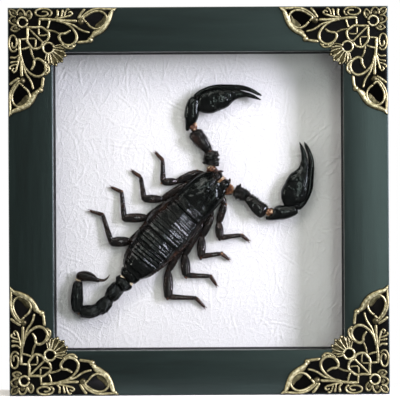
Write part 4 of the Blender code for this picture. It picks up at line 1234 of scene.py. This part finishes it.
STING = [(-46.4, -35.95, 4.9, 0.9, 0.95), (-43.4, -36.0, 5.2, 0.58, 0.6), (-42.1, -35.25, 5.3, 0.4, 0.4),
         (-41.35, -34.3, 5.3, 0.24, 0.24), (-40.9, -33.4, 5.3, 0.08, 0.08)]
COLLAR = [(-30.0, -31.6, 3.6, 4.7, 2.8), (-31.7, -33.9, 3.8, 4.7, 3.0), (-33.4, -35.9, 4.3, 4.0, 2.7)]
# A patch of membrane or a joint's skin: place (x, z, depth), half width, direction, tone and length.
MEMBRANE = (((-35.0, -34.9, 3.4), 1.1, (-1, -1), 0.97, 2.2),
            ((-31.2, -37.3, 3.4), 1.0, (1, -0.4), 0.95, 2.4))
TAIL_KEELS = ((25, 0.30, 9, 0.9), (62, 0.62, 9, 1.1), (90, 0.22, 8, 0.9), (118, 0.62, 9, 1.1),
              (155, 0.30, 9, 0.9))
TAIL_ROUGHNESS = (0.44, 0.36, 0.28, 0.24, 0.24)


def joint_skin(place, half_width, half_thick, way, tone, length):
    """A short soft sleeve of pale skin between two segments, folded like a bellows."""
    way = unit(np.array(way, float)) * length / 2
    x, z, depth = place
    stations = [(x + sign * way[0], z + sign * way[1], depth, half_width, half_thick) for sign in (-1, 0, 1)]
    rings = segment(stations, 20, 26, 2.0, rough=0.52, pitch=0.95)
    return skin(rings, toned(rings, tone, blotch=0.50 if tone < 0.9 else 0.12, size=0.9))


collar = segment(COLLAR, 26, 44, 2.3, rough=0.45, pitch=1.4, reach=0.3)
tail_shells = [skin(collar, toned(collar, 0.06, 0.14, 0.1, 0.08)),
               joint_skin((-33.3, -35.8, 4.2), 3.9, 2.8, (-1, -1.1), 0.80, 1.6)]
for place, half_width, way, tone, length in MEMBRANE:
    tail_shells.append(joint_skin(place, half_width, half_width, way, tone, length))
for number, stations in enumerate(TAIL):
    rings = segment(stations, 40, 64, 2.15, TAIL_KEELS, TAIL_ROUGHNESS[number], 1.2, 0.40)
    tail_shells.append(skin(rings, toned(rings, 0.03, 0.10, 0.06, 0.05)))
    tail_shells.append(studs(rings, 50, 0.16, 60 + number))
    tail_shells.append(hairs(rings, 26, 1.1, 40 + number))
    if number:
        half_width, half_thick = (0.9 * size for size in stations[0][3:])
        tail_shells.append(joint_skin(stations[0][:3], half_width, half_thick, (-0.3, -1), 0.5, 1.4))
rings = segment(BULB, 36, 34, 2.1, ((70, 0.12, 12, 0), (110, 0.12, 12, 0)), 0.07, 0.9)
tail_shells += [skin(rings, toned(rings, 0.15, 0.10, 0.2, 0.16)), hairs(rings, 46, 1.2, 51, 0.2)]
rings = segment(STING, 26, 16, 2.0, rough=0.02)
tail_shells.append(skin(rings, toned(rings, 0.30, 0.12, 0.3, 0.03)))
tail_shells.append(joint_skin((-55.3, -36.0, 4.7), 1.5, 1.5, (0.3, 1), 0.92, 1.4))
tail = add_shells("dried_tail", tail_shells, "tone")
dress(tail, ["scorpion_tail"], SHELL_FINISH, 60)


# %% [markdown]
# ### Arms and claws
# Each arm has four segments: a short rough one, a knobbly one with spurs, one with a row of teeth along
# an edge, and a slimmer one that ends at the wrist. Then comes the hand: a swollen palm and two fingers.
# The right hand is the left one turned and a little wider, so one outline in the claw's own axes serves both.

# %% Stations of the arms
ARM_LEFT = [
    [(7.3, 9.4, 6.0, 1.2, 1.2), (6.9, 12.0, 5.6, 2.2, 1.6), (6.0, 14.0, 5.3, 2.3, 1.7),
     (5.7, 16.0, 5.0, 1.7, 1.6)],
    [(5.5, 15.9, 4.8, 2.6, 1.8), (5.7, 17.0, 4.5, 3.2, 2.3), (5.6, 18.8, 4.5, 2.8, 2.3),
     (5.5, 20.6, 4.4, 3.1, 2.3), (5.1, 22.6, 4.6, 2.3, 1.7)],
    [(5.0, 22.2, 4.6, 1.6, 1.6), (3.7, 24.0, 4.3, 2.3, 2.1), (2.1, 25.9, 4.1, 2.8, 2.5),
     (-0.1, 28.8, 4.1, 3.3, 2.6), (-1.4, 30.6, 4.2, 3.2, 2.4), (-2.3, 32.0, 4.5, 2.4, 1.9)],
    [(-4.95, 31.9, 4.8, 0.7, 0.9), (-4.9, 34.2, 4.6, 1.1, 1.5), (-3.8, 36.4, 4.3, 2.6, 2.3),
     (-3.1, 39.2, 4.1, 3.3, 2.6), (-2.8, 42.2, 4.1, 3.2, 2.5), (-2.0, 44.8, 4.2, 2.8, 2.3),
     (-0.6, 46.8, 4.4, 2.2, 2.0)],
]
ARM_RIGHT = [
    [(9.4, 7.2, 6.0, 1.2, 1.2), (12.2, 5.6, 5.6, 2.3, 1.6), (14.2, 4.9, 5.3, 2.5, 1.7),
     (16.0, 4.5, 5.0, 1.7, 1.6)],
    [(16.2, 4.6, 4.8, 2.2, 1.8), (17.4, 4.2, 4.5, 2.7, 2.3), (19.2, 3.4, 4.5, 2.4, 2.3),
     (20.9, 2.5, 4.4, 2.6, 2.3), (22.3, 1.6, 4.6, 2.0, 1.7)],
    [(21.6, 1.9, 4.6, 1.6, 1.6), (23.4, 0.5, 4.3, 2.3, 2.1), (25.7, -1.8, 4.1, 2.8, 2.5),
     (28.0, -4.0, 4.1, 3.2, 2.6), (29.6, -5.3, 4.2, 2.9, 2.4), (30.7, -6.1, 4.5, 2.1, 1.9)],
    [(30.5, -7.9, 4.8, 0.7, 0.9), (32.5, -8.0, 4.6, 1.1, 1.5), (34.8, -6.8, 4.3, 2.5, 2.2),
     (36.7, -5.7, 4.1, 3.4, 2.6), (39.4, -5.3, 4.1, 3.2, 2.6), (42.6, -4.7, 4.2, 2.6, 2.3),
     (45.0, -3.8, 4.4, 1.9, 2.0)],
]

# %% Outlines of the claw
# In the claw's own axes: mm along the hand, mm aside of it and half the width there.
PALM = [(-1.2, 1.0, 2.2), (1.3, 1.4, 4.4), (4.3, 1.05, 5.6), (8.4, -0.05, 5.5), (11.6, -0.8, 5.0),
        (14.3, -1.75, 3.9), (17.0, -2.3, 2.6), (20.0, -2.3, 1.6), (23.5, -1.9, 0.9)]
OUTER_RIDGE = [(-1.4, -0.9, 1.0), (1.1, -2.4, 1.5), (4.3, -3.8, 1.7), (8.4, -4.9, 1.75),
               (13.0, -5.1, 1.65), (17.4, -5.2, 1.3), (18.6, -5.2, 1.0)]
FIXED_FINGER = [(14.6, -1.7, 2.2), (17.8, -2.2, 1.6), (20.7, -2.15, 1.28), (23.9, -1.7, 1.06),
                (26.6, -0.7, 0.76), (29.2, 0.45, 0.12)]
MOVING_FINGER = [(15.0, -5.1, 0.9), (16.5, -5.3, 1.25), (19.3, -5.3, 1.2), (22.5, -4.75, 1.05),
                 (25.7, -3.5, 0.9), (28.0, -2.25, 0.62), (29.5, -1.5, 0.12)]
CLAW_DEPTH = 4.2
PALM_ROWS, PALM_SIDES = 110, 90

# %% Skin, spurs and roughness of the arms
# Each joint's skin: place (x, z, depth), half width, direction, tone and length, as in MEMBRANE.
JOINTS_LEFT = [((5.8, 15.0, 5.0), 2.1, (-0.1, 1), 0.60, 3.0), ((5.1, 22.4, 4.5), 1.7, (-0.5, 1), 0.40, 2.4),
               ((-2.4, 34.0, 4.4), 1.7, (-0.4, 1), 0.62, 4.6)]
JOINTS_RIGHT = [((14.8, 4.6, 5.2), 1.65, (1, -0.2), 0.50, 2.8), ((22.2, 1.8, 4.5), 1.7, (1, -0.8), 0.40, 2.4),
                ((32.7, -5.4, 4.3), 1.8, (1, -0.3), 0.62, 4.6)]
ARM_ROWS, ARM_SIDES = 36, 40
ARM_KEELS = ((40, 0.16, 10, 0.9), (90, 0.12, 10, 0.9), (140, 0.16, 10, 0.9))
SHARP_EDGE = (48, 0.7, 28, 0)
# For each segment of an arm: lump height, lump pitch, boxiness, length of its rounded ends, tone, blotches,
# number of hairs, number of grains, their size and their tone.
ARM_LOOKS = ((0.40, 1.1, 2.2, 0.45, 0.50, 0.35, 20, 0, 0, 0),
             (0.80, 1.6, 2.7, 0.25, 0.10, 0.16, 34, 110, 0.32, 0.24),
             (0.20, 1.0, 2.5, 0.45, 0.12, 0.08, 40, 90, 0.20, 0.06),
             (0.13, 1.0, 2.3, 0.45, 0.03, 0.05, 34, 60, 0.20, 0.06))
SPUR_COUNTS = {1: 9, 2: 17}
SPUR_LENGTHS = {1: 0.95, 2: 0.62}


# %% Claws from an outline, and spurs
def claw_stations(outline, wrist, along, inwards, breadth):
    """Stations on the card from an outline in the claw's own axes. The half thickness is 0.56 of the half
    width, or the half width itself up to 0.95 mm if that is more."""
    run, aside, half = np.array(outline, float).T
    place = np.array(wrist) + run[:, None] * np.array(along) + aside[:, None] * breadth * np.array(inwards)
    thick = np.maximum(half * 0.56, np.minimum(half, 0.95))
    return np.column_stack([place, np.full(len(run), CLAW_DEPTH), half * breadth, thick])


def spurs(rings, number, seed, toothed):
    """Short broad spikes: a row of teeth on the third segment, spread over five columns on the second."""
    random = np.random.default_rng(seed)
    count = SPUR_COUNTS[number]
    row = np.linspace(4, 29, count).astype(int)
    column = toothed if number == 2 else random.choice((0, 19, toothed, 6, 13), count)
    roots = rings[row, column]
    out = away_from_middle(rings, row, roots)
    size = SPUR_LENGTHS[number] * random.uniform(0.5, 1.3, count)
    points, quads, caps = spikes(roots - 0.2 * out, out, size + 0.2, 0.55 * size, (1.0, 0.7, 0.15))
    return points + (0, 0, MIDDLE), quads, caps, 0.05


# %% Arms
def arm_shells(segments, soft_joints, seed, toothed):
    """The four segments of an arm with their grains, spurs and hairs, and the soft joints between them.

    Toothed is the column of the rings that carries the teeth. On the left arm it is 0, and its third
    segment has a brown stain; on the right arm it is 19, and the third segment has one sharp edge.
    """
    shells = []
    for number, (stations, looks) in enumerate(zip(segments, ARM_LOOKS)):
        rough, pitch, boxy, reach, base, blotch, hair_count, grain_count, grain_size, grain_tone = looks
        keels = () if number < 2 else ARM_KEELS
        if number == 2 and toothed:
            keels += (SHARP_EDGE,)
        rings = segment(stations, ARM_ROWS, ARM_SIDES, boxy, keels, rough, pitch, reach)
        tone = toned(rings, base, 0.12, 0.07, blotch)
        if number == 2 and not toothed:
            facing = np.degrees(ring_angles(ARM_SIDES))
            share = np.linspace(0, 1, ARM_ROWS)[:, None]
            tone = tone + 0.22 * bell((facing - 115) / 28) * bell((share - 0.6) / 0.3)
        shells.append(skin(rings, tone))
        shells.append(hairs(rings, hair_count, 1.2, seed + number, 0.35))
        if grain_count:
            shells.append(studs(rings, grain_count, grain_size, seed + 10 + number, tone=grain_tone))
        if number in SPUR_COUNTS:
            shells.append(spurs(rings, number, seed + 20, toothed))
    for place, half_width, way, tone, length in soft_joints:
        shells.append(joint_skin(place, half_width, 0.85 * half_width, way, tone, length))
    return shells


def hand_shells(wrist, along, inwards, breadth, seed):
    """Palm with its grains and outer ridge, two keeled fingers, hairs and the soft skin of the wrist."""
    axes = (wrist, along, inwards, breadth)
    keels = ((35, 0.16, 7, 0.9), (150, 0.16, 7, 0.9))
    palm = segment(claw_stations(PALM, *axes), PALM_ROWS, PALM_SIDES, 2.2, keels, 0.09, 0.75)
    facing = np.cos(ring_angles(PALM_SIDES))
    inner, outer = np.flatnonzero(facing > 0.35), np.flatnonzero(facing < -0.35)
    ridge = segment(claw_stations(OUTER_RIDGE, *axes) - (0, 0, 0.2, 0, -0.3), 44, 26, 2.2, rough=0.06)
    shells = [skin(palm, toned(palm, 0.02, 0.06, 0.05, 0.05)), hairs(palm, 46, 1.2, seed, 0.1),
              skin(ridge, 0.0), studs(ridge, 60, 0.16, seed + 5)]
    shells += [studs(palm, 330, 0.20, seed + 1, inner), studs(palm, 90, 0.15, seed + 2, outer)]
    keels = ((60, 0.10, 12, 0), (120, 0.10, 12, 0))
    for outline, bare in ((FIXED_FINGER, 0.02), (MOVING_FINGER, 0.05)):
        rings = segment(claw_stations(outline, *axes), 44, 28, 2.2, keels, 0.04, 0.8)
        shells += [skin(rings, toned(rings, bare, 0.10, 0.05, 0.05)), hairs(rings, 30, 0.9, seed + 3, 0.3)]
    return shells + [joint_skin((*wrist, 4.4), 2.2, 1.9, along, 0.1, 2.6)]


lean = math.radians(5)
right_way, right_inwards = (math.sin(lean), math.cos(lean)), (-math.cos(lean), math.sin(lean))
hands = {"left": ((-0.5, 46.3), (1.0, 0.0), (0.0, -1.0), 1.0),
         "right": ((44.1, -2.6), right_way, right_inwards, 1.08)}
for side, segments, joints, toothed, seed in (("left", ARM_LEFT, JOINTS_LEFT, 0, 100),
                                              ("right", ARM_RIGHT, JOINTS_RIGHT, 19, 200)):
    shells = arm_shells(segments, joints, seed, toothed) + hand_shells(*hands[side], seed + 50)
    pincer = add_shells(f"dried_pincer_{side}", shells, "tone")
    dress(pincer, [f"scorpion_pincer_{side}"], SHELL_FINISH, 60)


# %% [markdown]
# ### Walking legs
# Eight legs share one plan: hip, thigh, a spindle-shaped shin that stands up to the knee, a thin lower
# leg and a foot with two hooks. Only the six joints and the shin's width differ from leg to leg.

# %% Joints of the legs
LEG_TONES = (0.22, 0.20, 0.19, 0.22, 0.36)
LEG_HAIRS = (6, 20, 26, 26, 30)
LEG_KEELS = ((50, 0.12, 12, 0), (90, 0.10, 10, 0), (130, 0.12, 12, 0))
# Places (x, z) from the hip to the toe, then the half width of the shin.
LEGS = {
    "left_1": (((3.6, 11.2), (-0.6, 13.1), (-9.9, 8.9), (-16.3, 8.6), (-16.4, 18.7), (-20.0, 22.5)), 1.85),
    "left_2": (((0.0, 8.8), (-5.5, 7.4), (-16.8, 0.8), (-25.0, 1.1), (-26.5, 11.0), (-31.0, 14.2)), 1.95),
    "left_3": (((-3.6, 4.7), (-13.8, -1.0), (-23.6, -7.5), (-34.1, -7.8), (-35.3, 4.3), (-40.5, 6.6)), 2.15),
    "left_4": (((-7.6, -0.1), (-19.5, -8.6), (-31.5, -18.3), (-40.1, -18.7), (-44.0, -6.1),
                (-50.2, -4.3)), 2.35),
    "right_1": (((10.6, 2.2), (11.6, -1.8), (9.1, -10.0), (9.6, -16.9), (19.5, -15.8), (23.1, -18.7)), 1.95),
    "right_2": (((5.0, -3.2), (5.9, -7.2), (1.3, -16.6), (0.9, -25.4), (10.3, -24.2), (14.1, -27.3)), 2.05),
    "right_3": (((1.6, -7.6), (0.8, -11.2), (-6.6, -24.9), (-5.9, -34.0), (5.2, -34.5), (8.2, -39.2)), 2.25),
    "right_4": (((-3.0, -10.8), (-6.8, -18.4), (-14.2, -32.2), (-14.2, -43.8), (-1.5, -44.5),
                 (2.9, -49.1)), 2.3),
}


# %% Legs
def leg_segments(joints, shin):
    """Stations of the five segments: each starts thin, swells and narrows to the next joint. The rows
    hold the share of the way between two joints, the depth, the half width and the half thickness."""
    hip, thigh, elbow, knee, ankle, toe = (np.array(joint) for joint in joints)

    def part(near, far, rows):
        """A station lies at near + share * (far - near)."""
        return [(*(near + share * (far - near)), depth, width, thick) for share, depth, width, thick in rows]

    return [
        part(hip, thigh, [(-0.1, 6.05, 1.1, 1.1), (0.5, 6.0, 1.4, 1.4), (1.1, 6.05, 1.2, 1.2)]),
        part(thigh, elbow, [(-0.08, 6.0, 1.1, 1.1), (0.15, 5.9, 1.65, 1.4), (0.6, 5.9, 1.8, 1.45),
                            (0.92, 6.0, 1.45, 1.2), (1.04, 6.05, 1.0, 0.9)]),
        part(elbow, knee, [(-0.10, 6.0, 0.8, 0.9), (0.12, 5.8, 0.78 * shin, 1.35), (0.45, 5.4, shin, 1.7),
                           (0.78, 5.0, 0.95 * shin, 1.6), (1.02, 4.8, 0.72 * shin, 1.2),
                           (1.10, 4.8, 0.5 * shin, 0.8)]),
        part(knee, ankle, [(-0.04, 4.9, 0.9, 0.9), (0.12, 5.2, 1.25, 1.15), (0.5, 5.8, 1.1, 1.0),
                           (0.9, 6.3, 0.92, 0.9), (1.03, 6.45, 0.7, 0.7)]),
        part(ankle, toe, [(-0.05, 6.4, 0.6, 0.6), (0.10, 6.5, 0.85, 0.78), (0.5, 6.75, 0.8, 0.7),
                          (0.80, 6.95, 0.62, 0.55), (0.93, 7.0, 0.35, 0.35)]),
    ]


def leg_shells(joints, shin, seed):
    """The five segments, their hairs, the soft joints and the two hooks of the foot."""
    shells = []
    segments = leg_segments(joints, shin)
    for number, stations in enumerate(segments):
        rings = segment(stations, 26, 26, 2.2, LEG_KEELS if number in (1, 2) else (), 0.05, 0.8)
        shells.append(skin(rings, toned(rings, LEG_TONES[number], 0.16, 0.08, 0.10, 1.3)))
        shells.append(hairs(rings, LEG_HAIRS[number], 1.0, seed + number, 0.4, 0.045, 0.42))
    for near, far in zip(segments, segments[1:]):
        way = np.array(far[1][:2]) - np.array(near[-2][:2])
        place = 0.5 * (np.array(near[-1][:3]) + np.array(far[0][:3]))
        width = 0.85 * min(near[-1][3], far[0][3]) + 0.15
        shells.append(joint_skin(place, width, width, way, 0.36, 1.5))
    ankle, toe = np.array(joints[4]), np.array(joints[5])
    way = unit(toe - ankle)
    for sign in (-1, 1):
        side = np.array((way[1], -way[0])) * sign
        rows = [(*(toe - 0.6 * way + 0.2 * side), 7.0, 0.20, 0.2),
                (*(toe + 0.1 * way + 0.5 * side), 6.9, 0.15, 0.15),
                (*(toe + 0.65 * way + 0.35 * side), 7.2, 0.05, 0.05)]
        shells.append(skin(segment(rows, 10, 8, 2.0, rough=0.0), 0.5))
    return shells


for number, (name, (joints, shin)) in enumerate(LEGS.items()):
    leg = add_shells(f"dried_leg_{name}", leg_shells(joints, shin, 300 + 10 * number), "tone")
    dress(leg, [f"scorpion_leg_{name}"], SHELL_FINISH, 60)

# %% [markdown]
# ## The back
# Nobody looks at the back on the wall, but it has to work: a hardboard panel held by metal points that
# are pressed into the rails, and a toothed strip that takes the nail. They are flat pieces with broken
# edges, so one function draws each outline in a little on both faces.

# %% Flat pieces with broken edges
def slab(outline, front, back, edge):
    """Rings of one outline from front to back. At each face it is drawn in by the edge, square to its run."""
    outline = np.asarray(outline, float)
    run = unit(np.roll(outline, -1, 0) - np.roll(outline, 1, 0))
    x, z = outline.T
    turn = np.sign(np.sum(x * np.roll(z, -1) - z * np.roll(x, -1)))
    inwards = turn * np.stack([-run[:, 1], run[:, 0]], 1)
    steps = [(edge, front), (0.3 * edge, front + 0.3 * edge), (0, front + edge),
             (0, back - edge), (0.3 * edge, back - 0.3 * edge), (edge, back)]
    rings = [np.insert(outline + inset * inwards, 1, depth, axis=1) for inset, depth in steps]
    return tube(np.array(rings))


def box_in_mm(node):
    """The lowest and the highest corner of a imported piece."""
    return [np.array(corner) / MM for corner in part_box(node)]


# %% Board, points and hanger finishes
def hardboard():
    """Brown pressed fibre: flecks, a faint screen pattern from the press and a few darker stains."""
    made, tree, shader = start_material("brown hardboard", Roughness=0.85, Specular_IOR_Level=0.2)
    where = place_on(tree)
    flecks = noise(tree, place_on(tree, (1, 1, 0.35)), 900.0, 6.0, 0.7)
    stains = noise(tree, where, 38.0, 4.0)
    both = plus(tree, times(tree, flecks, 0.6), stains, 0.4)
    ramp_to(tree, shader, "Base Color", both,
            [(0.30, (0.13, 0.068, 0.030)), (0.50, (0.27, 0.155, 0.075)), (0.72, (0.42, 0.275, 0.150))])
    waves = [add_node(tree, "TexWave", {"Vector": where, "Scale": 260.0, "Distortion": 0.4},
                      bands_direction=way) for way in ("X", "Z")]
    bump(tree, shader, plus(tree, times(tree, *waves), flecks), 0.45, 0.00025)
    return made


def zinc_steel():
    """Bright zinc over steel with fine draw marks along the strip and dull grey blotches."""
    made, tree, shader = start_material("zinc plated steel", Metallic=1.0)
    marks = noise(tree, place_on(tree, (0.06, 1, 1)), 1400.0, 3.0)
    blotches = noise(tree, place_on(tree), 320.0, 4.0)
    ramp_to(tree, shader, "Base Color", blotches,
            [(0.3, (0.30, 0.30, 0.29)), (0.55, (0.50, 0.50, 0.49)), (0.8, (0.62, 0.61, 0.58))])
    ramp_to(tree, shader, "Roughness", blotches, [(0.3, 0.52), (0.7, 0.30)])
    bump(tree, shader, marks, 0.25, 0.00006)
    return made


ZINC = zinc_steel()
low, high = box_in_mm("back_board")
corners = [(low[0], low[2]), (high[0], low[2]), (high[0], high[2]), (low[0], high[2])]
board_outline = rounded(corners, [1.2] * 4)
board = add_mesh("hardboard_panel", *slab(board_outline, low[1], high[1], 0.3))
dress(board, ["back_board"], hardboard(), 30)

# %% Metal points
TAB_POINT = 2.2
for side, (level, sign) in SIDES.items():
    for number in (1, 2):
        node = f"back_tab_{side}_{number}"
        low, high = box_in_mm(node)
        outer, inner = (low, high) if sign < 0 else (high, low)
        axis = 2 if level else 0
        one, other = low[2 - axis], high[2 - axis]
        shoulder = outer[axis] - sign * TAB_POINT
        outline = rounded([(shoulder, one), (inner[axis], one), (inner[axis], other), (shoulder, other),
                           (outer[axis], (one + other) / 2)], [0.4, 1.6, 1.6, 0.4, 0.3])
        outline = outline[:, ::-1] if level else outline
        point = add_mesh(f"metal_point_{side}_{number}", *slab(outline, low[1], high[1], 0.12))
        dress(point, [node], ZINC, 30)

# %% Toothed hanger
HANGER_EAR = 7.0
HANGER_TEETH = 9
TOOTH_DEPTH = 2.6
STRIP_THICKNESS = 0.9
RIVET_RADIUS = 2.0
RIVET_SUNK = 0.15
low, high = box_in_mm("sawtooth_hanger")
tooth = (high[0] - low[0] - 2 * HANGER_EAR) / HANGER_TEETH
corners = [(low[0], low[2]), (low[0], high[2]), (high[0], high[2]), (high[0], low[2])]
for number in range(HANGER_TEETH, 0, -1):
    corners += [(low[0] + HANGER_EAR + number * tooth, low[2]),
                (low[0] + HANGER_EAR + (number - 0.5) * tooth, low[2] + TOOTH_DEPTH)]
corners.append((low[0] + HANGER_EAR, low[2]))
outline = rounded(corners, [1.3] * 4 + [0.22] * (len(corners) - 4), 4)
strip_back = low[1] + STRIP_THICKNESS
shells = [(*slab(outline, low[1], strip_back, 0.18), 0.0)]
for sign in (-1, 1):
    place = (sign * (high[0] - HANGER_EAR / 2), (low[2] + high[2]) / 2)
    rings = bead(place, RIVET_RADIUS, high[1] - strip_back + RIVET_SUNK, 28, 9)[0]
    head = np.stack([rings[..., 0], strip_back - RIVET_SUNK + rings[..., 2], rings[..., 1]], -1)
    shells.append((*tube(head), 0.0))
hanger = add_shells("toothed_hanger", shells, "wear")
dress(hanger, ["sawtooth_hanger"], ZINC, 35)
